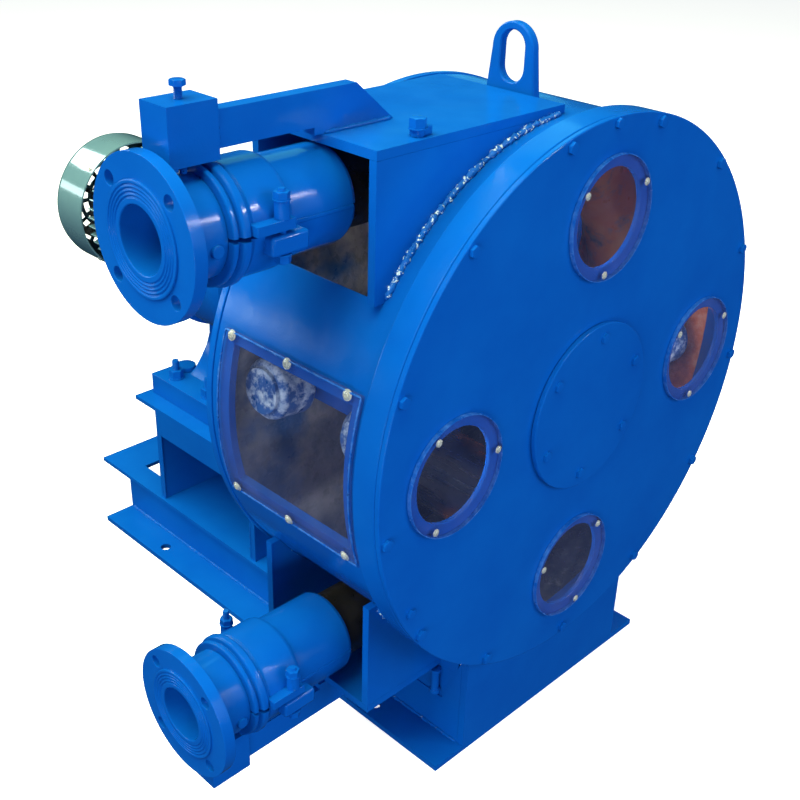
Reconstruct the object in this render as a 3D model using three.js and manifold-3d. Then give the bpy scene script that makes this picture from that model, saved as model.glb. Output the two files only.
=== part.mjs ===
// Peristaltic (hose) pump on a welded skid, driven by an in-line cycloidal gear motor.
// Millimetres. Everything is drawn about the rotor: +X right, +Y back along the rotor shaft from the
// outer face of the front cover, +Z up from the shaft. The whole group is then set down on the floor.
import * as THREE from "three";
import { mergeVertices } from "three/addons/utils/BufferGeometryUtils.js";
import Module from "manifold-3d";

const wasm = await Module();
wasm.setup();

// ---- Driving dimensions -------------------------------------------------------------------------
const GAP = 0.3; // clearance between separate pieces that touch

const SHAFT_HEIGHT = 569; // shaft centre above the floor
const DRUM = { cover: 424, shell: 412, bore: 400, coverThick: 8, ringEnd: 48, back: 353, backEnd: 365 };
const WINDOW = { pitch: 286, hole: 70, pane: 88, thick: 6 };
const HUB_COVER = { radius: 130, thick: 8, hole: 60 };
const HUB_BOLT = { pitch: 108, radius: 8.7, high: 4, count: 6, first: 24 };
const SIDE_WINDOW = { bottom: -105, top: 112, front: 78, back: 315, overlap: 18, thick: 6 };

const PORT_Y = 197; // the hose and both ports lie in this plane
const HOSE = { path: 345, outer: 52, bore: 38, end: -524, steps: 26 };
const FLANGE = { face: -604, radius: 97.5, thick: 20, raised: 67.5, proud: 3, bore: 40, pitch: 80, hole: 9 };
const NECK = { radius: 62, end: -531, spigot: 37, spigotBore: 33, spigotEnd: -450 };
const CLAMP = { inner: 53, ring: 77, shell: 71, sleeve: 63.5, shellEnd: -443, end: -337 };
const EAR = { left: -478, right: -449, reach: 85, high: 36 };

const BOX = { left: -357, lip: 232, front: 83, back: 311, plate: 12 };
const ARM = { bottom: 434, top: 477, front: 176, back: 196, end: -302, foot: -240 };
const BLOCK = { left: -575, right: -509, front: 172, back: 222, bottom: 423, top: 490 };
const JACK = { x: -542, shank: 5, head: 9, headHigh: 7, tip: 408, shoulder: 504 };
const EYE = { front: 140, back: 228, thick: 14, top: 515, crown: 36, slot: 21, slotLow: 455, slotHigh: 483 };

const ROTOR = { tilt: 84.4, hub: 78, plate: 16, front: 100, back: 294, halfWidth: 60, shaft: 35 };
const PRESS = { reach: 221, radius: 70, axle: 20, front: 118, back: 276 };
const GUIDE = { spread: 100, radius: 45, near: 302, far: 364, axle: 12, cap: 34, bar: 270 };

const BASE = { half: 200, foot: 262, footThick: 10, front: 25, plate: 12, web: 8, webTop: -488.3, end: 966 };
const GUSSET = { foot: 74, top: -392 };
const SIDE_PANEL = { inner: 193, outer: 198, front: 50, back: 311, top: -425 };
const SADDLE = { half: 190, front: 328, back: 340 };
const DECK = {
  top: -480, thick: 8, half: 206, start: 489,
  end: 1056, cutFront: 880, cutBack: 968, cutHalf: 160,
};
const PEDESTAL = {
  front: 472, frontThick: 15, legFront: 548, plate: 12,
  seat: -130, seatHalf: 120, shoulder: -334,
};
const BEARING = { radius: 88, foot: 115, footHigh: 24, waist: 70, race: 60, lip: 14, seatThick: 12 };
const TABLE = { top: -276, thick: 8, skirt: 58, end: 914, legFront: 836, legBack: 848 };
const GEARBOX = {
  front: 652, nose: 80, noseEnd: 690, noseBack: 716, barrel: 150,
  rearFace: 905, cavity: 112, pad: 168, padHigh: 42,
};
const DRIVE = { throw: 3, lobes: 35, disc: 96, pins: 8, pinPitch: 66, pin: 7, cam: 30, shaft: 30 };
const COUPLING = {
  front: 578, back: 648, barrel: 52, flange: 78,
  flangeFront: 606, flangeBack: 634, shaftEnd: 632,
};
const MOTOR = { flange: 150, barrel: 108, fins: 16, finTip: 129, finEnd: 1172, bore: 62, wallHole: 22 };
const MOTOR_SHAFT = { radius: 18, core: 60, coreFront: 960, coreBack: 1110 };
const FAN = { hub: 34, disc: 100, tip: 112, blades: 7 };
const TERMINAL = {
  seat: 142, front: 985, back: 1095, half: 55, lid: 186,
  lidEdge: 5, out: 192, gland: 14, glandLow: -74,
};
const COWL = { front: 1165, radius: 136, wall: 3, shoulder: 1250, end: 1272, eye: 30 };

// ---- Finishes -----------------------------------------------------------------------------------
const finish = (color, roughness, metalness) => {
  return new THREE.MeshStandardMaterial({ color, roughness, metalness });
};
const BLUE = finish(0x0a4cab, 0.35, 0.1);
const TEAL = finish(0x4f9a9b, 0.4, 0.1);
const STEEL = finish(0xb9bcc0, 0.35, 0.9);
const CAST = finish(0x5c6166, 0.6, 0.5);
const RUBBER = finish(0xa5562a, 0.7, 0);
const CLEAR = finish(0xd8e6ee, 0.1, 0);
CLEAR.transparent = true;
CLEAR.opacity = 0.3;
const PLASTIC = finish(0x2b2d30, 0.6, 0);

// ---- Solid helpers ------------------------------------------------------------------------------
function solid(geometry) {
  const bare = geometry.clone();
  bare.deleteAttribute("normal");
  bare.deleteAttribute("uv");
  const merged = mergeVertices(bare, 1e-4);
  const vertProperties = new Float32Array(merged.attributes.position.array);
  const triVerts = new Uint32Array(merged.index.array);
  return new wasm.Manifold(new wasm.Mesh({ numProp: 3, vertProperties, triVerts }));
}

function shaped(body) {
  const { vertProperties, triVerts } = body.getMesh();
  const geometry = new THREE.BufferGeometry();
  geometry.setAttribute("position", new THREE.BufferAttribute(vertProperties, 3));
  geometry.setIndex(new THREE.BufferAttribute(triVerts, 1));
  return geometry;
}

const join = (...pieces) => shaped(pieces.map(solid).reduce((whole, piece) => whole.add(piece)));
const cut = (blank, ...tools) =>
  shaped(tools.map(solid).reduce((rest, tool) => rest.subtract(tool), solid(blank)));

const radians = THREE.MathUtils.degToRad;

function box(x0, x1, y0, y1, z0, z1) {
  const block = new THREE.BoxGeometry(x1 - x0, y1 - y0, z1 - z0);
  return block.translate((x0 + x1) / 2, (y0 + y1) / 2, (z0 + z1) / 2);
}

// A round bar along Y between y0 and y1, centred on (x, z).
function barY(radius, y0, y1, x = 0, z = 0, sides = 24) {
  return new THREE.CylinderGeometry(radius, radius, y1 - y0, sides).translate(x, (y0 + y1) / 2, z);
}

// A round bar along X between x0 and x1, centred on (y, z).
function barX(radius, x0, x1, y, z, sides = 24) {
  const bar = new THREE.CylinderGeometry(radius, radius, x1 - x0, sides).rotateZ(-Math.PI / 2);
  return bar.translate((x0 + x1) / 2, y, z);
}

// A round bar along Z between z0 and z1, centred on (x, y).
function barZ(radius, z0, z1, x, y, sides = 16) {
  const bar = new THREE.CylinderGeometry(radius, radius, z1 - z0, sides).rotateX(Math.PI / 2);
  return bar.translate(x, y, (z0 + z1) / 2);
}

// A turned piece about Y: a closed profile of [radius, y], listed anticlockwise.
function turned(profile, sides = 24) {
  const points = [...profile, profile[0]].map(([radius, y]) => new THREE.Vector2(radius, y));
  return new THREE.LatheGeometry(points, sides);
}

const ring = (outer, inner, y0, y1, sides = 64) =>
  turned([[inner, y0], [outer, y0], [outer, y1], [inner, y1]], sides);

// The same turned piece laid along X on a port's centre line: profile of [radius, x].
function turnedX(profile, sides = 24) {
  return turned(profile, sides).rotateZ(-Math.PI / 2).translate(0, PORT_Y, HOSE.path);
}

function outline(points) {
  return new THREE.Shape(points.map(([a, b]) => new THREE.Vector2(a, b)));
}

function extruded(shape, depth) {
  return new THREE.ExtrudeGeometry(shape, { depth, bevelEnabled: false, curveSegments: 10 });
}

// A plate whose outline is drawn in X and Z, filling y0 to y1.
function plateXZ(shape, y0, y1) {
  return extruded(shape, y1 - y0).rotateX(Math.PI / 2).translate(0, y1, 0);
}

// A plate whose outline is drawn in Y and Z, filling x0 to x1.
function plateYZ(shape, x0, x1) {
  return extruded(shape, x1 - x0).rotateX(Math.PI / 2).rotateZ(Math.PI / 2).translate(x0, 0, 0);
}

// Copies of a piece turned about the rotor shaft, with the angle in degrees from +X towards +Z.
const aboutShaft = (geometry, angle) => geometry.clone().rotateY(-radians(angle));

function named(name, geometry, material) {
  const mesh = new THREE.Mesh(geometry, material);
  mesh.name = name;
  return mesh;
}

// ---- Pump head ----------------------------------------------------------------------------------
const WINDOW_ANGLES = { right: 0, top: 90, left: 180, bottom: 270 };

function frontCover() {
  const blank = barY(DRUM.cover, 0, DRUM.coverThick, 0, 0, 64);
  const hole = barY(WINDOW.hole, -1, DRUM.coverThick + 1, WINDOW.pitch, 0, 28);
  const holes = Object.values(WINDOW_ANGLES).map((angle) => aboutShaft(hole, angle));
  return cut(blank, ...holes, barY(HUB_COVER.hole, -1, DRUM.coverThick + 1));
}

function hubCover() {
  const { pitch, radius, high, count, first } = HUB_BOLT;
  const face = -GAP - HUB_COVER.thick;
  const disc = barY(HUB_COVER.radius, face, -GAP, 0, 0, 48);
  const heads = Array.from({ length: count }, (_, index) =>
    aboutShaft(barY(radius, face - high, face + 1, pitch, 0, 6), first + (360 * index) / count));
  return join(disc, ...heads);
}

function windowPane(angle) {
  return aboutShaft(barY(WINDOW.pane, -GAP - WINDOW.thick, -GAP, WINDOW.pitch, 0, 36), angle);
}

// The opening that lets the hose in between the box plates, from the box lip up to the top plate.
function hoseSlot(side) {
  const reach = DRUM.cover + 10;
  const low = BOX.lip * side;
  const high = (DRUM.shell + 10) * side;
  const inner = [BOX.front + BOX.plate, BOX.back - BOX.plate];
  return box(-reach, -30, ...inner, Math.min(low, high), Math.max(low, high));
}

function drumShell() {
  const shell = ring(DRUM.shell, DRUM.bore, DRUM.ringEnd + GAP, DRUM.back - GAP, 64);
  const { front, back, bottom, top } = SIDE_WINDOW;
  const windowCut = box(-DRUM.shell - 10, -300, front, back, bottom, top);
  return cut(shell, windowCut, hoseSlot(1), hoseSlot(-1));
}

function sideWindow() {
  const { front, back, bottom, top, overlap, thick } = SIDE_WINDOW;
  const inner = DRUM.shell + GAP;
  const pane = new THREE.Shape();
  const low = Math.PI + Math.asin((overlap - bottom) / inner);
  const high = Math.PI - Math.asin((top + overlap) / inner);
  pane.absarc(0, 0, inner + thick, high, low, false);
  pane.absarc(0, 0, inner, low, high, true);
  return plateXZ(pane, front - overlap, back + overlap);
}

function backPlate() {
  return ring(DRUM.shell + 2, 50, DRUM.back, DRUM.backEnd);
}

function boxSidePlate(y0) {
  const edge = DRUM.shell + GAP;
  const top = DRUM.shell;
  const shape = new THREE.Shape();
  shape.absarc(0, 0, edge, Math.PI - Math.asin(BOX.lip / edge), Math.PI - Math.asin(top / edge), true);
  shape.lineTo(BOX.left, top);
  shape.lineTo(BOX.left, BOX.lip);
  return plateXZ(shape, y0, y0 + BOX.plate);
}

function boxTopPlate() {
  const bottom = DRUM.shell + GAP;
  return box(BOX.left, -12, BOX.front, BOX.back, bottom, bottom + BOX.plate);
}

function reactionArm() {
  const rest = DRUM.shell + BOX.plate + 2 * GAP;
  const armShape = outline([
    [BLOCK.right - 5, ARM.bottom],
    [BOX.left - 12, ARM.bottom],
    [BOX.left - 12, rest],
    [ARM.foot, rest],
    [ARM.end, ARM.top],
    [BLOCK.right - 5, ARM.top],
  ]);
  const block = box(BLOCK.left, BLOCK.right, BLOCK.front, BLOCK.back, BLOCK.bottom, BLOCK.top);
  const arm = join(block, plateXZ(armShape, ARM.front, ARM.back));
  return cut(arm, barZ(JACK.shank + GAP, BLOCK.bottom - 1, BLOCK.top + 1, JACK.x, PORT_Y));
}

function jackBolt() {
  const shank = barZ(JACK.shank, JACK.tip, JACK.shoulder + 1, JACK.x, PORT_Y, 16);
  const head = barZ(JACK.head, JACK.shoulder, JACK.shoulder + JACK.headHigh, JACK.x, PORT_Y, 6);
  return join(shank, head);
}

function liftingEye() {
  const seat = DRUM.shell + GAP;
  const middle = (EYE.front + EYE.back) / 2;
  const crownZ = EYE.top - EYE.crown;
  const shape = new THREE.Shape();
  shape.moveTo(EYE.front, seat);
  shape.lineTo(EYE.back, seat);
  shape.absarc(middle, crownZ, EYE.crown, 0, Math.PI, false);
  const slot = new THREE.Path();
  slot.absarc(middle, EYE.slotHigh, EYE.slot, 0, Math.PI, false);
  slot.absarc(middle, EYE.slotLow, EYE.slot, Math.PI, 2 * Math.PI, false);
  shape.holes.push(slot);
  return plateYZ(shape, -EYE.thick / 2, EYE.thick / 2);
}

// ---- Ports --------------------------------------------------------------------------------------
function portFlange() {
  const { face, radius, thick, raised, proud, bore, pitch, hole } = FLANGE;
  const back = face + thick;
  const blank = turnedX([
    [bore, face], [raised, face], [raised, face + proud], [radius, face + proud], [radius, back],
    [NECK.radius, back], [NECK.radius, NECK.end], [NECK.spigot, NECK.end],
    [NECK.spigot, NECK.spigotEnd - 2], [NECK.spigotBore, NECK.spigotEnd],
    [NECK.spigotBore, NECK.end + 6], [bore, NECK.end - 6],
  ]);
  const drills = [45, 135, 225, 315].map((angle) => {
    const y = PORT_Y + pitch * Math.cos(radians(angle));
    const z = HOSE.path + pitch * Math.sin(radians(angle));
    return barX(hole, face - 1, back + 1, y, z, 16);
  });
  return cut(blank, ...drills);
}

// The split clamp that grips the hose end on its spigot, whole; each half is cut from it.
function clampBlank() {
  const { inner, ring: rim, shell, sleeve, shellEnd, end } = CLAMP;
  const front = NECK.end + GAP;
  const body = turnedX([
    [inner, front], [rim - 1, front], [rim - 1, front + 10], [shell - 4, front + 11],
    [shell - 4, front + 16], [rim, front + 17], [rim, front + 28], [shell, front + 30],
    [shell, shellEnd - 3], [sleeve, shellEnd], [sleeve, end - 6], [sleeve - 5, end], [inner, end],
  ]);
  const ears = [-1, 1].map((side) => {
    const edges = [PORT_Y + side * (inner + 8), PORT_Y + side * EAR.reach].sort((a, b) => a - b);
    return box(EAR.left, EAR.right, ...edges, HOSE.path - EAR.high, HOSE.path + EAR.high);
  });
  return join(body, ...ears);
}

function clampHalf(upper) {
  const side = upper ? 1 : -1;
  const split = 2.5;
  const near = HOSE.path + side * split;
  const far = HOSE.path + side * 150;
  const keep = box(-600, -300, PORT_Y - 150, PORT_Y + 150, Math.min(near, far), Math.max(near, far));
  return shaped(solid(clampBlank()).intersect(solid(keep)));
}

// The hose centre line: one straight step in, a half turn round the rotor, one straight step out.
class HosePath extends THREE.Curve {
  angleAt(t) {
    const turn = (t * HOSE.steps - 1) / (HOSE.steps - 2);
    return Math.PI * (0.5 - THREE.MathUtils.clamp(turn, 0, 1));
  }

  getPointAt(t) {
    const angle = this.angleAt(t);
    const x = t === 0 || t === 1 ? HOSE.end : HOSE.path * Math.cos(angle);
    return new THREE.Vector3(x, PORT_Y, HOSE.path * Math.sin(angle));
  }

  getTangentAt(t) {
    const angle = this.angleAt(t);
    return new THREE.Vector3(Math.sin(angle), 0, -Math.cos(angle));
  }
}

function pumpHose() {
  const section = new THREE.Shape().absarc(0, 0, HOSE.outer, 0, 2 * Math.PI, false);
  section.holes.push(new THREE.Path().absarc(0, 0, HOSE.bore, 0, 2 * Math.PI, true));
  const options = { steps: HOSE.steps, extrudePath: new HosePath(), curveSegments: 8, bevelEnabled: false };
  return new THREE.ExtrudeGeometry(section, options);
}

function portGroup(prefix, side) {
  const group = new THREE.Group();
  group.scale.z = side; // the lower port is the upper one mirrored
  const front = BOX.front;
  const back = BOX.back - BOX.plate;
  group.add(
    named(`${prefix}_box_front_plate`, boxSidePlate(front), BLUE),
    named(`${prefix}_box_back_plate`, boxSidePlate(back), BLUE),
    named(`${prefix}_box_cap_plate`, boxTopPlate(), BLUE),
    named(`${prefix}_reaction_arm`, reactionArm(), BLUE),
    named(`${prefix}_jack_bolt`, jackBolt(), BLUE),
    named(`${prefix}_port_flange`, portFlange(), BLUE),
    named(`${prefix}_clamp_outer_half`, clampHalf(true), BLUE),
    named(`${prefix}_clamp_inner_half`, clampHalf(false), BLUE),
  );
  return group;
}

// ---- Rotor --------------------------------------------------------------------------------------
const guideY = [PORT_Y - GUIDE.spread, PORT_Y + GUIDE.spread];

// The welded rotor: a hub, two cheek plates for the press rollers and two arms for the guide rollers.
function rotorFrame() {
  const cheek = new THREE.Shape();
  cheek.absarc(PRESS.reach, 0, ROTOR.halfWidth, -Math.PI / 2, Math.PI / 2, false);
  cheek.absarc(-PRESS.reach, 0, ROTOR.halfWidth, Math.PI / 2, (3 * Math.PI) / 2, false);
  const pieces = [
    barY(ROTOR.hub, ROTOR.front, ROTOR.back),
    plateXZ(cheek, ROTOR.front, ROTOR.front + ROTOR.plate),
    plateXZ(cheek, ROTOR.back - ROTOR.plate, ROTOR.back),
  ];
  for (const side of [1, -1]) {
    const tip = side * (GUIDE.bar + 14);
    const inner = side * (GUIDE.bar - 14);
    const [low, high] = [side * 60, inner].sort((a, b) => a - b);
    pieces.push(box(-28, 28, PORT_Y - 32, PORT_Y + 32, low, high));
    pieces.push(box(-25, 25, guideY[0] - 14, guideY[1] + 14, Math.min(tip, inner), Math.max(tip, inner)));
    for (const y of guideY) {
      const stub = [side * GUIDE.bar, side * (GUIDE.far + 1)].sort((a, b) => a - b);
      const cap = [side * (GUIDE.far + GAP), side * (GUIDE.far + 7)].sort((a, b) => a - b);
      pieces.push(barZ(GUIDE.axle, ...stub, 0, y));
      pieces.push(barZ(GUIDE.cap, ...cap, 0, y));
    }
  }
  const bores = [barY(ROTOR.shaft + GAP, ROTOR.front - 1, ROTOR.back + 1)];
  for (const side of [1, -1]) {
    bores.push(barY(PRESS.axle + GAP, ROTOR.front - 1, ROTOR.back + 1, side * PRESS.reach, 0, 16));
  }
  return cut(join(...pieces), ...bores);
}

function pressRoller(side) {
  const r = PRESS.radius;
  const roller = turned([
    [PRESS.axle + GAP, PRESS.front], [r - 8, PRESS.front], [r, PRESS.front + 8],
    [r, PRESS.back - 8], [r - 8, PRESS.back], [PRESS.axle + GAP, PRESS.back],
  ], 24);
  return roller.translate(side * PRESS.reach, 0, 0);
}

function pressAxle(side) {
  return barY(PRESS.axle, ROTOR.front - 6, ROTOR.back + 6, side * PRESS.reach, 0, 16);
}

// A guide roller turns on a stub that points away from the shaft; it is drawn along Z first.
function guideRoller(side, y) {
  const r = GUIDE.radius;
  const roller = turned([
    [GUIDE.axle + GAP, GUIDE.near], [r - 5, GUIDE.near], [r, GUIDE.near + 5],
    [r, GUIDE.far - 5], [r - 5, GUIDE.far], [GUIDE.axle + GAP, GUIDE.far],
  ], 24);
  return roller.rotateX(side * Math.PI / 2).translate(0, y, 0);
}

function rotorGroup() {
  const group = new THREE.Group();
  group.rotation.y = -radians(ROTOR.tilt);
  group.add(named("rotor_frame", rotorFrame(), BLUE));
  const ends = { a: 1, b: -1 };
  for (const [mark, side] of Object.entries(ends)) {
    group.add(named(`press_roller_${mark}`, pressRoller(side), STEEL));
    group.add(named(`press_roller_axle_${mark}`, pressAxle(side), STEEL));
    group.add(named(`guide_roller_${mark}_front`, guideRoller(side, guideY[0]), CAST));
    group.add(named(`guide_roller_${mark}_back`, guideRoller(side, guideY[1]), CAST));
  }
  return group;
}

// ---- Skid ---------------------------------------------------------------------------------------
const floor = -SHAFT_HEIGHT;

// A foot flange with an upright web, which is broken by the pedestal and rises to the front plate.
function footRail() {
  const { half, foot, footThick, front, plate, web, webTop, end } = BASE;
  const webIn = half - web;
  const top = floor + footThick;
  const frontWeb = outline([
    [front + plate + GAP, floor], [PEDESTAL.front - GAP, floor], [PEDESTAL.front - GAP, webTop],
    [GUSSET.foot, webTop], [front + plate + GAP, GUSSET.top],
  ]);
  const panel = SIDE_PANEL;
  const rail = join(
    box(panel.inner, panel.outer, panel.front, panel.back, webTop - 1, panel.top),
    box(half, foot, front, end, floor, top),
    plateYZ(frontWeb, webIn, half),
    box(webIn, half, DECK.start, end, floor, webTop),
    box(webIn, foot, DECK.start, end, floor, top),
    box(webIn, foot, front + plate + GAP, PEDESTAL.front - GAP, floor, top),
  );
  const boltX = (half + foot) / 2 + 4;
  return cut(rail, ...[190, 794].map((y) => barZ(10, floor - 1, top + 1, boltX, y, 16)));
}

// The drum's own outside, a little oversize, which trims whatever stands under it.
function drumClearance() {
  const spare = 3 * GAP;
  const cover = barY(DRUM.cover + spare, -10, DRUM.ringEnd + GAP, 0, 0, 64);
  const shell = barY(DRUM.shell + spare, DRUM.ringEnd, DRUM.back - GAP, 0, 0, 64);
  const back = barY(DRUM.shell + 2 + spare, DRUM.back - GAP - 1, DRUM.backEnd + 10, 0, 0, 64);
  return join(cover, shell, back);
}

function frontPlate() {
  const { half, front, plate } = BASE;
  return cut(box(GAP - half, half - GAP, front, front + plate, floor, -330), drumClearance());
}

function rearSaddle() {
  const { half, front, back } = SADDLE;
  return cut(box(-half, half, front, back, floor + BASE.footThick, -350), drumClearance());
}

function deckPlate() {
  const bottom = DECK.top - DECK.thick;
  const plate = box(-DECK.half, DECK.half, DECK.start, DECK.end, bottom, DECK.top);
  return cut(plate, box(-DECK.cutHalf, DECK.cutHalf, DECK.cutFront, DECK.cutBack, bottom - 1, DECK.top + 1));
}

// The pedestal plates narrow above the table's skirt and stop under the bearing seat.
function pedestalPlate(y0, y1, bottom) {
  const half = BASE.half;
  const { seat, seatHalf, shoulder } = PEDESTAL;
  const top = seat - GAP;
  const shape = outline([
    [-half, bottom], [half, bottom], [half, shoulder], [seatHalf, top], [-seatHalf, top], [-half, shoulder],
  ]);
  return plateXZ(shape, y0, y1);
}

function bearingSeat() {
  const { seat, seatHalf, front, legFront, plate } = PEDESTAL;
  return box(-seatHalf, seatHalf, front, legFront + plate, seat, seat + BEARING.seatThick);
}

const HOUSING_FRONT = PEDESTAL.front + 8;
const HOUSING_BACK = PEDESTAL.legFront + 4;

function bearingHousing() {
  const { radius, foot, footHigh, waist, race, lip, seatThick } = BEARING;
  const base = PEDESTAL.seat + seatThick + GAP;
  const body = join(
    barY(radius, HOUSING_FRONT, HOUSING_BACK, 0, 0, 32),
    box(-waist, waist, HOUSING_FRONT, HOUSING_BACK, base, -20),
    box(-foot, foot, HOUSING_FRONT + 8, HOUSING_BACK - 8, base, base + footHigh),
  );
  const shaftHole = barY(ROTOR.shaft + 3, HOUSING_FRONT - 1, HOUSING_BACK + 1);
  return cut(body, shaftHole, barY(race + GAP, HOUSING_FRONT + lip, HOUSING_BACK + 1));
}

function rotorBearing() {
  return ring(BEARING.race, ROTOR.shaft + GAP, HOUSING_FRONT + BEARING.lip + GAP, HOUSING_BACK, 24);
}

function gearTable() {
  const half = BASE.half;
  const front = PEDESTAL.legFront + PEDESTAL.plate + GAP;
  const under = TABLE.top - TABLE.skirt;
  const skirtIn = half - TABLE.thick;
  return join(
    box(-half, half, front, TABLE.end, TABLE.top - TABLE.thick, TABLE.top),
    box(-half, -skirtIn, front, TABLE.legBack, under, TABLE.top),
    box(skirtIn, half, front, TABLE.legBack, under, TABLE.top),
  );
}

function tableRearLeg() {
  const half = BASE.half;
  const inset = half - TABLE.thick - GAP;
  const under = TABLE.top - TABLE.skirt - GAP;
  const top = TABLE.top - TABLE.thick - GAP;
  const bottom = DECK.top + GAP;
  const shape = outline([
    [-half, bottom], [half, bottom], [half, under], [inset, under],
    [inset, top], [-inset, top], [-inset, under], [-half, under],
  ]);
  return plateXZ(shape, TABLE.legFront, TABLE.legBack);
}

function skidGroup() {
  const group = new THREE.Group();
  const leftRail = named("left_foot_rail", footRail(), BLUE);
  leftRail.scale.x = -1;
  const pedestalLow = floor + BASE.footThick + GAP;
  const deckTop = DECK.top + GAP;
  const { front, frontThick, legFront, plate } = PEDESTAL;
  group.add(
    leftRail,
    named("right_foot_rail", footRail(), BLUE),
    named("front_support_plate", frontPlate(), BLUE),
    named("rear_saddle_plate", rearSaddle(), BLUE),
    named("deck_plate", deckPlate(), BLUE),
    named("pedestal_front_plate", pedestalPlate(front, front + frontThick, pedestalLow), BLUE),
    named("pedestal_back_plate", pedestalPlate(legFront, legFront + plate, deckTop), BLUE),
    named("bearing_seat", bearingSeat(), BLUE),
    named("bearing_housing", bearingHousing(), BLUE),
    named("rotor_bearing", rotorBearing(), STEEL),
    named("gear_table", gearTable(), BLUE),
    named("table_rear_leg", tableRearLeg(), BLUE),
  );
  return group;
}

// ---- Drive --------------------------------------------------------------------------------------
// End cover of the gearbox, bored for the output shaft.
function gearboxNose() {
  const { front, nose, noseEnd, noseBack, barrel } = GEARBOX;
  const bore = DRIVE.shaft + 2;
  return turned([
    [bore, front], [nose - 8, front], [nose, noseEnd], [barrel - 10, noseEnd + 10],
    [barrel, noseBack], [bore, noseBack],
  ], 32);
}

function gearboxHousing() {
  const { noseEnd, noseBack, barrel, rearFace, cavity, pad, padHigh } = GEARBOX;
  const start = noseBack + GAP;
  const shell = turned([
    [cavity, start], [barrel, start], [barrel, rearFace - 24], [barrel + 8, rearFace - 24],
    [barrel + 8, rearFace], [cavity, rearFace],
  ], 32);
  const low = TABLE.top + GAP;
  const feet = [-1, 1].map((side) => {
    const edges = [side * (pad - 78), side * pad].sort((a, b) => a - b);
    return box(...edges, noseEnd + 30, rearFace - 4, low, low + padHigh);
  });
  const webLow = low + padHigh - 6;
  const rightFlank = [[125, webLow], [85, webLow + 34], [62, webLow + 70], [62, -100]];
  const leftFlank = rightFlank.map(([x, z]) => [-x, z]).reverse();
  const web = plateXZ(outline([...rightFlank, ...leftFlank]), noseEnd + 44, rearFace - 55);
  const bore = barY(cavity, start - 1, rearFace + 1, 0, 0, 32);
  return cut(join(shell, web, ...feet), bore);
}

// Slow output shaft: a flange whose pins pass through the holes of the cycloid disc.
function outputShaft() {
  const flangeFront = GEARBOX.noseEnd + 40;
  const pieces = [
    barY(DRIVE.shaft, COUPLING.shaftEnd + 6, flangeFront + 6),
    barY(DRIVE.pinPitch + 16, flangeFront, flangeFront + 22),
  ];
  for (let pin = 0; pin < DRIVE.pins; pin += 1) {
    const turn = (360 * pin) / DRIVE.pins;
    pieces.push(aboutShaft(barY(DRIVE.pin, flangeFront + 10, flangeFront + 64, DRIVE.pinPitch, 0, 8), turn));
  }
  return join(...pieces);
}

const DISC_FRONT = GEARBOX.noseEnd + 70;
const DISC_BACK = DISC_FRONT + 26;

function cycloidDisc() {
  const shape = new THREE.Shape();
  const steps = DRIVE.lobes * 4;
  for (let step = 0; step < steps; step += 1) {
    const angle = (2 * Math.PI * step) / steps;
    const radius = DRIVE.disc + DRIVE.throw * Math.cos(DRIVE.lobes * angle);
    shape[step ? "lineTo" : "moveTo"](radius * Math.cos(angle), radius * Math.sin(angle));
  }
  const tools = [barY(DRIVE.cam + GAP, DISC_FRONT - 1, DISC_BACK + 1)];
  for (let pin = 0; pin < DRIVE.pins; pin += 1) {
    const hole = barY(DRIVE.pin + DRIVE.throw + 1, DISC_FRONT - 1, DISC_BACK + 1, DRIVE.pinPitch, 0, 12);
    tools.push(aboutShaft(hole, (360 * pin) / DRIVE.pins));
  }
  return cut(plateXZ(shape, DISC_FRONT, DISC_BACK), ...tools).translate(DRIVE.throw, 0, 0);
}

// Fast shaft: cycloid cam in front, rotor core in the middle, fan seat at the back.
function motorShaft() {
  const camCentre = DRIVE.throw;
  return join(
    barY(MOTOR_SHAFT.radius, DISC_FRONT - 4, COWL.end - 34, 0, 0, 24),
    barY(DRIVE.cam, DISC_FRONT, DISC_BACK, camCentre),
    barY(MOTOR_SHAFT.core, MOTOR_SHAFT.coreFront, MOTOR_SHAFT.coreBack),
  );
}

function coolingFan() {
  const front = MOTOR.finEnd + 14;
  const back = COWL.end - 36;
  const pieces = [barY(FAN.hub, front, back, 0, 0, 24), barY(FAN.disc, front, front + 6)];
  for (let blade = 0; blade < FAN.blades; blade += 1) {
    const vane = box(FAN.hub - 4, FAN.tip, front, back - 6, -3, 3);
    pieces.push(aboutShaft(vane, (360 * blade) / FAN.blades));
  }
  return cut(join(...pieces), barY(MOTOR_SHAFT.radius + GAP, front - 1, back + 1, 0, 0, 24));
}

function motorBody() {
  const start = GEARBOX.rearFace + GAP;
  const { flange, barrel, fins, finTip, finEnd, bore, wallHole } = MOTOR;
  const wall = finEnd - 20;
  const core = turned([
    [wallHole, start], [flange, start], [flange, start + 20], [barrel + 8, start + 22], [barrel, start + 40],
    [barrel, finEnd], [wallHole, finEnd], [wallHole, wall], [bore, wall], [bore, start + 36],
    [wallHole, start + 36],
  ], 24);
  const pieces = [core];
  for (let fin = 0; fin < fins; fin += 1) {
    const blade = box(barrel - 6, finTip, start + 30, finEnd, -1.6, 1.6);
    pieces.push(aboutShaft(blade, (360 * (fin + 0.5)) / fins));
  }
  const { front, back, half } = TERMINAL;
  const seat = box(barrel - 20, TERMINAL.seat, front, back, -half, half);
  return join(...pieces, seat);
}

function fanCowl() {
  const { front, radius, wall, shoulder, end, eye } = COWL;
  const inner = radius - wall;
  return turned([
    [inner, front], [radius, front], [radius, shoulder], [radius - 7, end - 6], [radius - 22, end],
    [eye, end], [eye, end - wall], [radius - 23, end - wall], [inner - 7, end - 8], [inner, shoulder - 1],
  ], 32);
}

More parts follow.
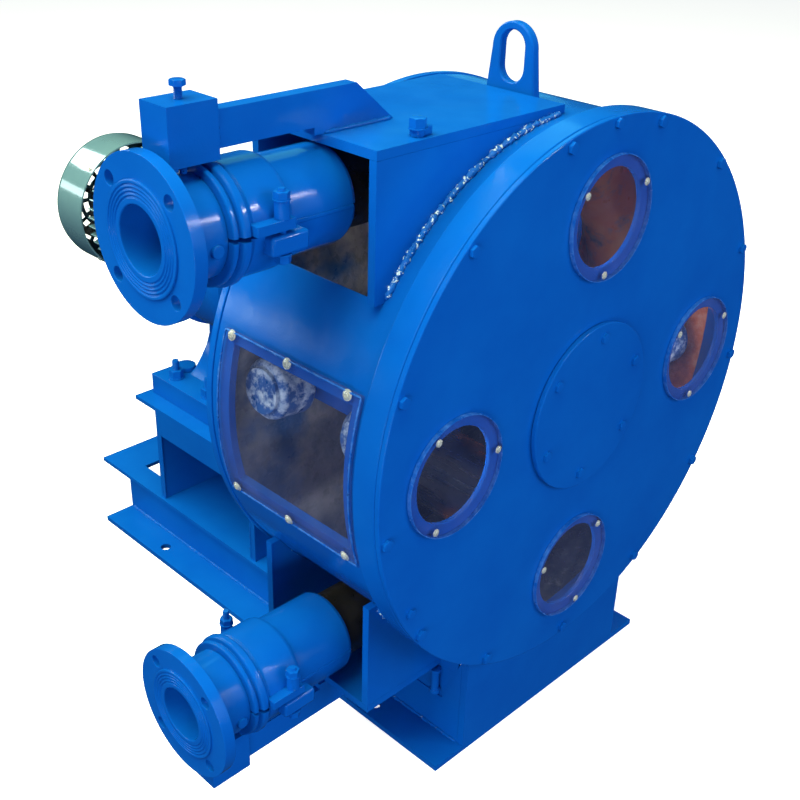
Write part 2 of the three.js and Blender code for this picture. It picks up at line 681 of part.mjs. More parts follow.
function terminalBox() {
  const { seat, front, back, half, lid, lidEdge, out, gland, glandLow } = TERMINAL;
  const wide = half + lidEdge;
  const cover = box(lid, out, front - lidEdge, back + lidEdge, -wide, wide);
  const body = box(seat + GAP, lid + 1, front, back, -half, half);
  return join(body, cover, barZ(gland, glandLow, 5 - half, (seat + lid) / 2, (front + back) / 2, 16));
}

// A rigid flanged coupling between the rotor shaft and the gearbox output shaft.
function shaftCoupling() {
  const { front, back, barrel, flange, flangeFront, flangeBack, shaftEnd } = COUPLING;
  const rotorBore = ROTOR.shaft + 2 * GAP;
  const driveBore = DRIVE.shaft + 2 * GAP;
  const step = shaftEnd + 1;
  return turned([
    [rotorBore, front], [barrel, front], [barrel, flangeFront], [flange, flangeFront], [flange, flangeBack],
    [barrel, flangeBack], [barrel, back], [driveBore, back], [driveBore, step], [rotorBore, step],
  ]);
}

function driveGroup() {
  const group = new THREE.Group();
  group.add(
    named("rotor_shaft", barY(ROTOR.shaft, ROTOR.front - 8, COUPLING.shaftEnd), STEEL),
    named("shaft_coupling", shaftCoupling(), CAST),
    named("gearbox_nose", gearboxNose(), BLUE),
    named("gearbox_housing", gearboxHousing(), BLUE),
    named("output_shaft", outputShaft(), STEEL),
    named("cycloid_disc", cycloidDisc(), STEEL),
    named("motor_shaft", motorShaft(), STEEL),
    named("motor_body", motorBody(), TEAL),
    named("cooling_fan", coolingFan(), PLASTIC),
    named("fan_cowl", fanCowl(), TEAL),
    named("terminal_box", terminalBox(), TEAL),
  );
  return group;
}

// ---- Assembly -----------------------------------------------------------------------------------
function headGroup() {
  const group = new THREE.Group();
  group.add(
    named("front_cover", frontCover(), BLUE),
    named("hub_cover", hubCover(), BLUE),
    named("front_ring", ring(DRUM.cover, DRUM.bore - 2, DRUM.coverThick + GAP, DRUM.ringEnd), BLUE),
    named("drum_shell", drumShell(), BLUE),
    named("back_plate", backPlate(), BLUE),
    named("side_window", sideWindow(), CLEAR),
    named("lifting_eye", liftingEye(), BLUE),
    named("pump_hose", pumpHose(), RUBBER),
  );
  for (const [place, angle] of Object.entries(WINDOW_ANGLES)) {
    group.add(named(`${place}_window`, windowPane(angle), CLEAR));
  }
  return group;
}

const pump = new THREE.Group();
pump.add(headGroup(), portGroup("upper", 1), portGroup("lower", -1), rotorGroup(), skidGroup(), driveGroup());
pump.position.set(0, -(BASE.front + BASE.plate / 2), SHAFT_HEIGHT);

export default pump;
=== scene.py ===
"""Looks for the hose pump: finishes, rounded high-detail shapes, fasteners, welds, camera and light.

Shapes are drawn in millimetres about the rotor shaft, as the CAD part is: +X right, +Y back from the
outer face of the front cover, +Z up from the shaft. TO_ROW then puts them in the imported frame's metres.
"""

import random
from math import acos, asin, cos, degrees, pi, radians, sin, sqrt
from types import SimpleNamespace as Sizes

import bmesh
import bpy
from mathutils import Matrix, Vector


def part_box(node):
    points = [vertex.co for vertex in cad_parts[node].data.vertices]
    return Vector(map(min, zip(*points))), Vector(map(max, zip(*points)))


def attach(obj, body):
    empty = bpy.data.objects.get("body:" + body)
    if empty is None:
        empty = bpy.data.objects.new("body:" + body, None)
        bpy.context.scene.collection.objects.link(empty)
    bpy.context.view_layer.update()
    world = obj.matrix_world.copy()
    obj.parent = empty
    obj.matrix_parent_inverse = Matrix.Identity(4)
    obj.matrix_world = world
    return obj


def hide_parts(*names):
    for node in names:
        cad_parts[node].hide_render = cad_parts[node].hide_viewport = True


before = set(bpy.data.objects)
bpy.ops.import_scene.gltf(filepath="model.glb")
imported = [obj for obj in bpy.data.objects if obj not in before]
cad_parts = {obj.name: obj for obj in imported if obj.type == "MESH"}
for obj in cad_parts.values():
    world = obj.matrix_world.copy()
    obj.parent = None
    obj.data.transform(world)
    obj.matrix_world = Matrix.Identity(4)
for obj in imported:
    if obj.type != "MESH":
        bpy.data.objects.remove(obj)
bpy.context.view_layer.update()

SCENE = bpy.context.scene
MM = 0.001
cover_low, cover_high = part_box("front_cover")
SHAFT = Vector(((cover_low.x + cover_high.x) / 2, cover_low.y, (cover_low.z + cover_high.z) / 2))
TO_ROW = Matrix.Translation(SHAFT) @ Matrix.Scale(MM, 4)
FLOOR = -SHAFT.z / MM
FORWARD, BACKWARD = (0, -1, 0), (0, 1, 0)
GAP = 0.3  # between neighbouring CAD solids

# ---- Dimensions, in millimetres ----
COVER = Sizes(radius=424, thick=8, ring_end=48, ring_bore=398, bolts=412)
SHELL = Sizes(outer=412, bore=400, front=48.3, back=352.7, plate_end=365, plate_radius=414)
WINDOW = Sizes(pitch=286, hole=70, pane=88, thick=6, screws=79)
HUB = Sizes(radius=130, thick=8, bolts=108)
SIDE = Sizes(front=78, back=315, bottom=-105, top=112, lap=18, thick=6)
PORT_Y = 197
PORT_Z = 345
HOSE = Sizes(outer=52, bore=38, end=-524)
FLANGE = Sizes(face=-604, back=-584, radius=97.5, raised=67.5, proud=3, bore=40, pitch=80, hole=9)
NECK = Sizes(radius=62, end=-531)
CLAMP = Sizes(inner=53, end=-337, split=2.5, bolt_x=-466)
BOX = Sizes(left=-357, right=-12, front=83, back=311, plate=12, cap=424.3, lip=232)
JACK = Sizes(x=-542, foot=408, head=504)
EYE = Sizes(front=140, back=228, top=515, crown=36, slot=21, slot_low=455, slot_high=483, thick=14)
TILT = 84.4  # degrees from +X to the first press roller
PRESS = Sizes(reach=221, radius=70, front=118, back=276, axle=20)
GUIDE = Sizes(near=302, far=364, radius=45, cap=34, bar=270, axle=12, spread=100)
BEARING = Sizes(front=480, back=552, seat=-117.7, foot=-94, bolts=74)
COUPLING = Sizes(front=578, faces=(606, 634), joint=620, back=648, bolts=65)
GEARBOX = Sizes(front=652, nose=690, barrel=150, bore=112, rear=905, table=-276, nose_bolts=100)
MOTOR = Sizes(front=905.3, flange=150, barrel=108, tip=129, end=1172, bolts=138)
TERMINAL = Sizes(front=985, back=1095, half=55)
RAIL = Sizes(web=200.5, table_edge=199)
COWL = Sizes(front=1165, radius=136, shoulder=1250, end=1272, wall=3)


# ---- Mesh helpers ----
def polar(radius, angle):
    return radius * cos(radians(angle)), radius * sin(radians(angle))


def along_y(x=0.0, z=0.0):
    """Local Z runs along +Y, local X along +X and local Y along -Z."""
    return Matrix.Translation((x, 0, z)) @ Matrix.Rotation(-pi / 2, 4, "X")


def upright(y):
    """Local X runs along +X and local Y up, so a plate drawn here grows forward from this depth."""
    return Matrix.Translation((0, y, 0)) @ Matrix.Rotation(pi / 2, 4, "X")


def along_x(x=0.0, y=0.0, z=0.0):
    return Matrix.Translation((x, y, z)) @ Matrix.Rotation(pi / 2, 4, "Y")


def along_z(x=0.0, y=0.0, z=0.0):
    return Matrix.Translation((x, y, z))


def outward(x, y, z, direction):
    """A frame at a point whose local Z is the given direction."""
    return Matrix.Translation((x, y, z)) @ Vector(direction).to_track_quat("Z", "Y").to_matrix().to_4x4()


def about_shaft(angle):
    """Turns a shape about the rotor shaft, from +X towards +Z."""
    return Matrix.Rotation(-radians(angle), 4, "Y")


def left_angle(z, radius):
    """The angle about the shaft of a point at this height on the left of a circle."""
    return 180 - degrees(asin(z / radius))


def rounded(points, radius=1.5, steps=3):
    """The same closed outline with every corner rounded."""
    result = []
    count = len(points)
    for i, here in enumerate(points):
        here = Vector(here)
        before = Vector(points[i - 1]) - here
        after = Vector(points[(i + 1) % count]) - here
        reach = min(radius, 0.45 * before.length, 0.45 * after.length)
        start = here + before.normalized() * reach
        stop = here + after.normalized() * reach
        on_axis = abs(here.x) < 1e-6
        if on_axis or reach < 0.05:
            result.append((here.x, here.y))
            continue
        for step in range(steps + 1):
            t = step / steps
            point = start * (1 - t) ** 2 + here * (2 * t * (1 - t)) + stop * t ** 2
            result.append((point.x, point.y))
    return result


def slab(radius, low, high, corner, steps=2, inner=0):
    """The outline of a disc, or of a ring, with rounded edges."""
    return rounded([(inner, low), (radius, low), (radius, high), (inner, high)], corner, steps)


def bridge(bm, rings):
    """Faces between closed rings of vertices, each joined to the next."""
    for first, second in zip(rings, rings[1:]):
        for i, vert in enumerate(first):
            j = (i + 1) % len(first)
            bm.faces.new((vert, first[j], second[j], second[i]))


def add_lathe(bm, profile, place, segments=96, sweep=(0.0, 360.0)):
    """Turns a closed profile of (radius, height) about local Z; a point on the axis stays one vertex."""
    start, stop = sweep
    whole = abs(stop - start) >= 359.999
    columns = segments if whole else segments + 1
    rings = []
    for radius, height in profile:
        if radius < 1e-6:
            rings.append([bm.verts.new(place @ Vector((0, 0, height)))] * columns)
            continue
        ring = []
        for i in range(columns):
            x, y = polar(radius, start + (stop - start) * i / segments)
            ring.append(bm.verts.new(place @ Vector((x, y, height))))
        rings.append(ring)
    for a in range(len(rings)):
        first, second = rings[a], rings[(a + 1) % len(rings)]
        for i in range(segments):
            j = (i + 1) % columns
            corners = []
            for vert in (first[i], first[j], second[j], second[i]):
                if vert not in corners:
                    corners.append(vert)
            if len(corners) > 2:
                bm.faces.new(corners)
    if not whole:
        bm.faces.new([ring[0] for ring in rings])
        bm.faces.new([ring[-1] for ring in reversed(rings)])


def add_box(bm, x0, x1, y0, y1, z0, z1, place=None):
    made = bmesh.ops.create_cube(bm, size=1.0)["verts"]
    middle = Vector(((x0 + x1) / 2, (y0 + y1) / 2, (z0 + z1) / 2))
    size = Matrix.Diagonal((x1 - x0, y1 - y0, z1 - z0, 1.0))
    place = (place or Matrix.Identity(4)) @ Matrix.Translation(middle)
    bmesh.ops.transform(bm, matrix=place @ size, verts=made)


def add_plate(bm, loops, depth, place):
    """A flat plate from an outline and its holes, drawn in local X and Y, thick along local Z."""
    edges = []
    for loop in loops:
        verts = [bm.verts.new(place @ Vector((x, y, 0))) for x, y in loop]
        edges += [bm.edges.new((verts[i - 1], verts[i])) for i in range(len(verts))]
    normal = (place.to_3x3() @ Vector((0, 0, 1))).normalized()
    filled = bmesh.ops.triangle_fill(bm, edges=edges, use_beauty=True, normal=normal)
    faces = [item for item in filled["geom"] if isinstance(item, bmesh.types.BMFace)]
    grown = bmesh.ops.extrude_face_region(bm, geom=faces, use_keep_orig=True)["geom"]
    raised = [item for item in grown if isinstance(item, bmesh.types.BMVert)]
    bmesh.ops.translate(bm, vec=normal * depth, verts=raised)


def arc(radius, start, stop, x=0.0, y=0.0, count=24):
    points = [polar(radius, start + (stop - start) * i / count) for i in range(count + 1)]
    return [(x + a, y + b) for a, b in points]


def circle(radius, x=0.0, y=0.0, count=64):
    return arc(radius, 0, 360, x, y, count)[:-1]


def turns(count, first=0.0, step=0.0):
    """Angles about a centre, evenly spaced unless a step is given."""
    return [first + (step or 360 / count) * k for k in range(count)]


def add_hex(bm, place, across, height):
    """A hexagon bolt head or nut with turned corners, standing on local Z = 0."""
    flat = across / 2
    rings = [[], [], [], []]
    for turn in turns(36):
        corner = flat / cos(radians((turn + 30) % 60 - 30))
        levels = ((corner, 0.0), (corner, height - (corner - flat * 0.96) * 0.6),
                  (flat * 0.94, height), (flat * 0.45, height))
        for ring, (radius, z) in zip(rings, levels):
            x, y = polar(radius, turn)
            ring.append(bm.verts.new(place @ Vector((x, y, z))))
    bridge(bm, rings)
    bm.faces.new(rings[3])
    bm.faces.new(list(reversed(rings[0])))


def add_bolt(bm, place, across, height=None, washer=True):
    """A hexagon head on a washer, standing on local Z = 0."""
    lift = across * 0.1 if washer else 0.0
    if washer:
        add_lathe(bm, slab(across * 0.62, 0, lift, 0.5), place, 32)
    add_hex(bm, place @ Matrix.Translation((0, 0, lift)), across, height or across * 0.62)


def add_bolt_circle(bm, radius, angles, y, way, across, height=None, washer=True):
    """Bolts on a plane across the rotor shaft, at these angles about it."""
    for angle in angles:
        x, z = polar(radius, angle)
        add_bolt(bm, outward(x, y, z, way), across, height, washer)


def add_screw(bm, place, radius, height, washer=1.2):
    """A domed screw head with a washer and a round socket."""
    add_lathe(bm, slab(radius * 1.3, 0, washer, 0.4), place, 28)
    dome = [(radius * cos(radians(t)), washer + height * sin(radians(t)) ** 0.8)
            for t in range(0, 70, 8)]
    socket = radius * 0.38
    rim = dome[-1][1]
    floor = rim - height * 0.5
    add_lathe(bm, [(0, 1.0), (radius, 1.0), *dome, (socket, rim), (socket, floor), (0, floor)], place, 28)


def add_thread(bm, place, radius, start, stop, pitch=2.0):
    """A bolt shank with ring-shaped threads."""
    root = radius - 0.8
    profile = [(0, start), (root, start)]
    z = start
    while z + pitch < stop:
        profile += [(radius, z + pitch / 2), (root, z + pitch)]
        z += pitch
    profile += [(root, stop), (0, stop)]
    add_lathe(bm, profile, place, 24)


def add_bead(bm, path, radius, seed, bumpy=0.35, sides=8, step=3.0):
    """A weld bead: a lumpy closed rope laid along a path of points."""
    chance = random.Random(seed)
    points = [Vector(path[0])]
    for stop in map(Vector, path[1:]):
        start = points[-1]
        pieces = max(1, round((stop - start).length / step))
        points += [start.lerp(stop, (i + 1) / pieces) for i in range(pieces)]
    rings = []
    for i, point in enumerate(points):
        ahead = points[min(i + 1, len(points) - 1)] - points[max(i - 1, 0)]
        turn = ahead.to_track_quat("Z", "Y").to_matrix()
        end = i in (0, len(points) - 1)
        size = radius * (0.35 if end else 1 + bumpy * chance.uniform(-1, 1))
        ring = []
        for k in range(sides):
            x, y = polar(size * (1 + 0.18 * chance.uniform(-1, 1)), 360 * k / sides)
            ring.append(bm.verts.new(point + turn @ Vector((x, y, 0))))
        rings.append(ring)
    bridge(bm, rings)
    bm.faces.new(rings[0])
    bm.faces.new(list(reversed(rings[-1])))


def shaft_arc(radius, start, stop, y, count=60):
    """Points along an arc about the rotor shaft."""
    return [(x, y, z) for x, z in arc(radius, start, stop, count=count)]


# ---- Finishes ----
class Finish:
    """One node-based material. Its methods take a noise as a tuple: scale, detail, roughness, stretch."""

    def __init__(self, name, slot):
        self.slot = slot
        self.material = bpy.data.materials.new(name)
        self.material.use_nodes = True
        self.tree = self.material.node_tree
        self.link = self.tree.links.new
        self.shader = self.tree.nodes["Principled BSDF"]
        self.coordinates = self.node("TexCoord").outputs["Object"]
        self.last_bump = None

    def node(self, kind, **values):
        """A new node, with values for its inputs."""
        node = self.tree.nodes.new("ShaderNode" + kind)
        self.fill(node, values)
        return node

    def set(self, **values):
        self.fill(self.shader, values)
        return self

    @staticmethod
    def fill(node, values):
        for name, value in values.items():
            node.inputs[name.replace("_", " ")].default_value = value

    def noise(self, scale, detail=2.0, rough=0.5, stretch=(1, 1, 1)):
        source = self.coordinates
        if stretch != (1, 1, 1):
            mapping = self.node("Mapping", Scale=stretch)
            self.link(source, mapping.inputs["Vector"])
            source = mapping.outputs["Vector"]
        texture = self.node("TexNoise", Scale=scale, Detail=detail, Roughness=rough)
        self.link(source, texture.inputs["Vector"])
        return texture.outputs["Fac"]

    def clouds(self, noise, *stops):
        """Colours laid out by a noise, from (position, colour) stops."""
        node = self.node("ValToRGB")
        ramp = node.color_ramp
        while len(ramp.elements) < len(stops):
            ramp.elements.new(0.5)
        for element, (position, colour) in zip(ramp.elements, stops):
            element.position = position
            element.color = (*colour, 1.0)
        self.link(self.noise(*noise), node.inputs["Fac"])
        return node.outputs["Color"]

    def mix(self, factor, first, second):
        node = self.tree.nodes.new("ShaderNodeMix")
        node.data_type = "RGBA"
        self.link(factor, node.inputs["Factor"])
        self.link(first, node.inputs["A"])
        self.link(second, node.inputs["B"])
        return node.outputs["Result"]

    def span(self, factor, low, high, start=0.3, stop=0.7):
        """Takes a factor's start to stop over to low to high, and holds it there beyond them."""
        node = self.node("MapRange", From_Min=start, From_Max=stop, To_Min=low, To_Max=high)
        self.link(factor, node.inputs["Value"])
        return node.outputs["Result"]

    def patches(self, noise, start, stop):
        return self.span(self.noise(*noise), 0, 1, start, stop)

    def along(self, axis, start, stop):
        """From 0 to 1 as the place along an axis goes from start to stop, in metres."""
        place = self.node("SeparateXYZ")
        self.link(self.coordinates, place.inputs["Vector"])
        return self.span(place.outputs[axis], 0, 1, start, stop)

    def colour(self, output):
        self.link(output, self.shader.inputs["Base Color"])

    def roughness(self, noise, low, high):
        self.link(self.span(self.noise(*noise), low, high), self.shader.inputs["Roughness"])

    def bump(self, noise, distance, strength):
        node = self.node("Bump", Strength=strength, Distance=distance)
        self.link(self.noise(*noise), node.inputs["Height"])
        if self.last_bump:
            self.link(self.last_bump, node.inputs["Normal"])
        self.last_bump = node.outputs["Normal"]
        self.link(self.last_bump, self.shader.inputs["Normal"])


def enamel(name, slot, dark, light, gloss=(0.1, 0.22)):
    """Brushed-on glossy enamel: orange peel, soft waves, slightly uneven colour."""
    paint = Finish(name, slot)
    paint.colour(paint.clouds((7, 4, 0.6), (0.3, dark), (0.72, light)))
    paint.roughness((26, 3), *gloss)
    paint.bump((14, 3), 0.0025, 0.3)
    paint.bump((420, 2), 0.00025, 0.5)
    return paint.set(Specular_IOR_Level=0.42)


def steel(name, colour, gloss=(0.2, 0.42), turned=(1, 1, 1)):
    """Turned or ground metal with fine marks and faint blotches."""
    metal = Finish(name, "bright_steel")
    darker = tuple(c * 0.82 for c in colour)
    metal.colour(metal.clouds((30, 2, 0.5), (0.3, darker), (0.7, colour)))
    metal.roughness((160, 3, 0.5, turned), *gloss)
    metal.bump((600, 2, 0.5, turned), 0.00012, 0.4)
    return metal.set(Metallic=1.0)


def clear_panel():
    """Clear acrylic: see-through with a faint violet tint, shinier at a slant, with wiping marks."""
    panel = Finish("clear_acrylic", "clear_panel")
    panel.colour(panel.clouds((22, 3), (0.3, (0.06, 0.08, 0.2)), (0.7, (0.13, 0.15, 0.3))))
    panel.roughness((50, 4), 0.03, 0.1)
    slant = panel.node("LayerWeight", Blend=0.5)
    through = panel.node("BsdfTransparent", Color=(0.95, 0.95, 1.0, 1.0))
    both = panel.node("MixShader")
    panel.link(panel.span(slant.outputs["Facing"], 0.09, 0.5, 0.45, 1.0), both.inputs["Fac"])
    panel.link(through.outputs["BSDF"], both.inputs[1])
    panel.link(panel.shader.outputs["BSDF"], both.inputs[2])
    panel.link(both.outputs["Shader"], panel.tree.nodes["Material Output"].inputs["Surface"])
    return panel


def acrylic_edge_highlight():
    """The sawn and polished edge of the acrylic, which gathers light; its opaque colour is a painted
    highlight for that light.
    """
    edge = Finish("acrylic_edge_highlight", "clear_panel")
    edge.colour(edge.clouds((60, 4, 0.7), (0.4, (0.004, 0.08, 0.42)), (0.8, (0.06, 0.2, 0.6))))
    edge.roughness((90, 2), 0.1, 0.3)
    return edge


def weld_metal():
    """Painted spatter: the same blue, with pale bare flecks on its lumps."""
    weld = Finish("weld_bead", "blue_paint")
    paint = weld.clouds((60, 3), (0.3, (0.003, 0.08, 0.40)), (0.7, (0.01, 0.14, 0.58)))
    pale = weld.clouds((210, 3), (0.0, (0.5, 0.72, 0.8)), (1.0, (0.85, 0.95, 0.98)))
    weld.colour(weld.mix(weld.patches((150, 3, 0.6), 0.57, 0.62), paint, pale))
    weld.roughness((120, 2), 0.2, 0.5)
    weld.bump((350, 3, 0.6), 0.0012, 0.7)
    return weld


def greased_wall():
    """Inside of the drum: paint under lubricant, grey on the left, amber on the right, near-black with
    pale streaks towards the bottom on the right.
    """
    wall = Finish("greased_wall", "blue_paint")
    paint = wall.clouds((9, 3), (0.3, (0.006, 0.045, 0.12)), (0.7, (0.02, 0.12, 0.34)))
    grey = wall.clouds((16, 4, 0.6), (0.2, (0.06, 0.07, 0.065)), (0.5, (0.28, 0.26, 0.24)),
                       (0.8, (0.5, 0.45, 0.41)))
    amber = wall.clouds((22, 5, 0.7), (0.25, (0.2, 0.05, 0.02)), (0.5, (0.75, 0.2, 0.05)),
                        (0.8, (0.9, 0.5, 0.28)))
    near_black = wall.clouds((34, 5, 0.7, (1, 1, 2.5)), (0.45, (0.006, 0.012, 0.008)),
                       (0.6, (0.03, 0.04, 0.025)), (0.72, (0.2, 0.22, 0.2)))
    left = wall.mix(wall.patches((5, 4, 0.65, (1, 0.5, 1)), 0.36, 0.5), paint, grey)
    # On the right the wall turns from amber to near-black with pale streaks towards the bottom.
    right = wall.mix(wall.along("Z", 0.46, 0.36), amber, near_black)
    wall.colour(wall.mix(wall.along("X", -0.08, 0.04), left, right))
    wall.roughness((40, 3), 0.12, 0.5)
    wall.bump((70, 4, 0.6), 0.003, 0.5)
    return wall


def hose_rubber():
    """Orange-brown natural rubber with smears of lubricant, painted near-black as shade where it enters
    the ports.
    """
    rubber = Finish("hose_rubber", "hose_rubber")
    base = rubber.clouds((8, 4, 0.6), (0.25, (0.36, 0.07, 0.008)), (0.5, (0.6, 0.16, 0.02)),
                         (0.8, (0.72, 0.33, 0.1)))
    smear = rubber.clouds((60, 3), (0.3, (0.05, 0.045, 0.04)), (0.7, (0.3, 0.24, 0.18)))
    smeared = rubber.mix(rubber.patches((18, 5, 0.7), 0.55, 0.66), base, smear)
    # Painted shade: the near-black colour below covers the hose where it runs out towards the ports, where
    # it lies in shade.
    near_black = rubber.clouds((30, 3), (0.3, (0.006, 0.006, 0.007)), (0.7, (0.014, 0.013, 0.012)))
    rubber.colour(rubber.mix(rubber.along("X", -0.27, -0.2), near_black, smeared))
    rubber.roughness((30, 3), 0.2, 0.6)
    rubber.bump((90, 3), 0.0012, 0.4)
    return rubber


def greased_cast():
    """Blue guide rollers streaked white with grease."""
    cast = Finish("greased_cast", "cast_rollers")
    paint = cast.clouds((30, 3), (0.3, (0.01, 0.05, 0.22)), (0.7, (0.03, 0.14, 0.42)))
    white = cast.clouds((90, 3), (0.3, (0.3, 0.42, 0.6)), (0.7, (0.72, 0.8, 0.88)))
    cast.colour(cast.mix(cast.patches((46, 5, 0.7), 0.47, 0.6), paint, white))
    cast.roughness((60, 3), 0.2, 0.6)
    cast.bump((120, 4, 0.6), 0.0015, 0.6)
    return cast


def dull_plastic():
    plastic = Finish("fan_plastic", "fan_plastic")
    plastic.colour(plastic.clouds((40, 3), (0.3, (0.02, 0.02, 0.022)), (0.7, (0.045, 0.045, 0.05))))
    plastic.bump((500, 2), 0.0002, 0.5)
    return plastic.set(Roughness=0.6)


BLUE = enamel("blue_enamel", "blue_paint", (0.001, 0.072, 0.4), (0.0018, 0.092, 0.45))
WELD = weld_metal()
WALL = greased_wall()
TEAL = enamel("teal_enamel", "teal_paint", (0.1, 0.2, 0.26), (0.13, 0.25, 0.3), gloss=(0.08, 0.16))
TEAL.set(Specular_IOR_Level=1.0, Coat_Weight=1.0, Coat_Roughness=0.06, Coat_IOR=1.8)
SILVER = steel("zinc_screws", (0.86, 0.87, 0.86), gloss=(0.22, 0.3)).set(Metallic=0.6)
BRIGHT = steel("bright_steel", (0.6, 0.61, 0.63), turned=(1, 0.1, 1))
CAST = greased_cast()
RUBBER = hose_rubber()
PANE = clear_panel()
EDGE_HIGHLIGHT = acrylic_edge_highlight()
PLASTIC = dull_plastic()


# ---- Putting pieces in the scene ----
def new_object(name, bm):
    mesh = bpy.data.meshes.new(name)
    bm.to_mesh(mesh)
    bm.free()
    obj = bpy.data.objects.new(name, mesh)
    SCENE.collection.objects.link(obj)
    return obj


def dress(obj, bevel):
    """Rounds a piece's hard edges and keeps its flat faces flat."""
    if bevel:
        edge = obj.modifiers.new("edge", "BEVEL")
        edge.width = bevel * MM
        edge.segments = 2
        edge.limit_method = "ANGLE"
        edge.angle_limit = radians(30)
    normals = obj.modifiers.new("normals", "WEIGHTED_NORMAL")
    normals.keep_sharp = True


def piece(name, bm, finish, stands_for=(), body="pump_frame", bevel=0.0, sharp=40):
    """Turns a mesh drawn in millimetres into a finished object that rides on a CAD body."""
    bmesh.ops.remove_doubles(bm, verts=bm.verts, dist=1e-4)
    bmesh.ops.recalc_face_normals(bm, faces=bm.faces)
    bm.transform(TO_ROW)
    obj = new_object(name, bm)
    obj.data.shade_smooth()
    obj.data.set_sharp_from_angle(angle=radians(sharp))
    obj.data.materials.append(finish.material)
    dress(obj, bevel)
    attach(obj, body)
    if stands_for:
        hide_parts(*stands_for)


def turned(name, profile, place, segments, finish, stands_for=(), sweep=(0.0, 360.0), **options):
    """A piece that is one turned shape."""
    bm = bmesh.new()
    add_lathe(bm, profile, place, segments, sweep)
    piece(name, bm, finish, stands_for, **options)


def block(name, extent, finish, stands_for=(), **options):
    """A piece that is one block with rounded edges."""
    bm = bmesh.new()
    add_box(bm, *extent)
    piece(name, bm, finish, stands_for, **options)


def keep(node, finish, bevel):
    """Shows a CAD node as it is, with a finish and slightly rounded edges."""
    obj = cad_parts[node]
    obj.data.materials.clear()
    obj.data.materials.append(finish.material)
    obj.data.shade_flat()
    dress(obj, bevel)


# ---- Pump head ----
WINDOW_ANGLES = dict(right=0, top=90, left=180, bottom=270)
SCREW_ANGLES = dict(right=(144, 31, -93), top=(145, 29, -95), left=(121, 8, -119), bottom=(159, 42, -74))


def front_cover():
    holes = [circle(WINDOW.hole, *polar(WINDOW.pitch, angle), 72) for angle in WINDOW_ANGLES.values()]
    loops = [circle(COVER.radius, count=200), circle(60, count=48), *holes]
    bm = bmesh.new()
    add_plate(bm, loops, COVER.thick, upright(COVER.thick))
    piece("cover_plate", bm, BLUE, ["front_cover"], bevel=1.4)


def cover_bolts():
    bm = bmesh.new()
    add_bolt_circle(bm, COVER.bolts, turns(13, 104.1, 27.69), 0, FORWARD, 15, 5.5, washer=False)
    for radius, angle in ((415, 90.7), (406, -152.6)):
        add_bolt_circle(bm, radius, [angle], 0, FORWARD, 13, 5, washer=False)
    piece("cover_bolts", bm, BLUE)


def hub_cover():
    low = -GAP - HUB.thick
    turned("hub_cover_disc", slab(HUB.radius, low, -GAP, 2.0, 4), along_y(), 128, BLUE, ["hub_cover"])
    bolts = bmesh.new()
    add_bolt_circle(bolts, HUB.bolts, turns(6, 24), low, FORWARD, 15, 4, washer=False)
    piece("hub_bolts", bolts, BLUE)


def windows():
    screws, edges = bmesh.new(), bmesh.new()
    radius, front = WINDOW.pane, -GAP - WINDOW.thick
    # A thin rim round each pane carries the edge's painted highlight.
    rim = slab(radius + 0.3, front - 0.1, -0.2, 0.4, inner=radius - 1)
    for place, angle in WINDOW_ANGLES.items():
        x, z = polar(WINDOW.pitch, angle)
        pane = slab(radius, front, -GAP, 1.2, 3)
        turned(f"{place}_pane", pane, along_y(x, z), 96, PANE, [f"{place}_window"])
        add_lathe(edges, rim, along_y(x, z), 96)
        for turn in SCREW_ANGLES[place]:
            dx, dz = polar(WINDOW.screws, turn)
            add_screw(screws, outward(x + dx, front, z + dz, FORWARD), 4.2, 1.9)
    piece("window_screws", screws, SILVER)
    piece("pane_edges", edges, EDGE_HIGHLIGHT)


def front_ring():
    ring = slab(COVER.radius, COVER.thick + GAP, COVER.ring_end, 2.5, 4, COVER.ring_bore)
    turned("front_flange_ring", ring, along_y(), 200, BLUE, ["front_ring"])


def drum_shell():
    """The rolled shell: a sheet on a grid of angles and depths, left open where the CAD shell is open."""
    outer = SHELL.outer
    side_low, side_high = left_angle(SIDE.bottom, outer), left_angle(SIDE.top, outer)
    lip = left_angle(BOX.lip, outer)
    near = degrees(acos(-30 / outer))
    inside = (BOX.front + BOX.plate, BOX.back - BOX.plate)
    openings = [(side_high, side_low, SIDE.front, SIDE.back), (near, lip, *inside),
                (360 - lip, 360 - near, *inside)]
    angles = sorted({float(a) for a in range(0, 360, 2)} | {a for o in openings for a in o[:2]})
    depths = sorted({SHELL.front, SHELL.back, *[d for o in openings for d in o[2:]],
                     *range(60, 350, 24)})
    bm = bmesh.new()
    grid = []
    for y in depths:
        grid.append([bm.verts.new((x, y, z)) for x, z in (polar(outer, a) for a in angles)])
    for j in range(len(depths) - 1):
        for i in range(len(angles)):
            k = (i + 1) % len(angles)
            middle = (angles[i] + (angles[k] or 360)) / 2
            depth = (depths[j] + depths[j + 1]) / 2
            if any(a < middle < b and c < depth < d for a, b, c, d in openings):
                continue
            bm.faces.new((grid[j][i], grid[j][k], grid[j + 1][k], grid[j + 1][i]))
    bmesh.ops.delete(bm, geom=[v for v in bm.verts if not v.link_faces], context="VERTS")
    bmesh.ops.recalc_face_normals(bm, faces=bm.faces)
    for face in bm.faces:
        centre = face.calc_center_median()
        if face.normal.dot(Vector((centre.x, 0, centre.z))) < 0:
            face.normal_flip()
    bm.transform(TO_ROW)
    obj = new_object("rolled_shell", bm)
    obj.data.shade_smooth()
    for finish in (BLUE, WALL):
        obj.data.materials.append(finish.material)
    wall = obj.modifiers.new("wall", "SOLIDIFY")
    wall.thickness = (outer - SHELL.bore) * MM
    wall.offset = -1
    wall.material_offset = 1
    wall.use_even_offset = True
    dress(obj, 1.0)
    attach(obj, "pump_frame")
    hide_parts("drum_shell")


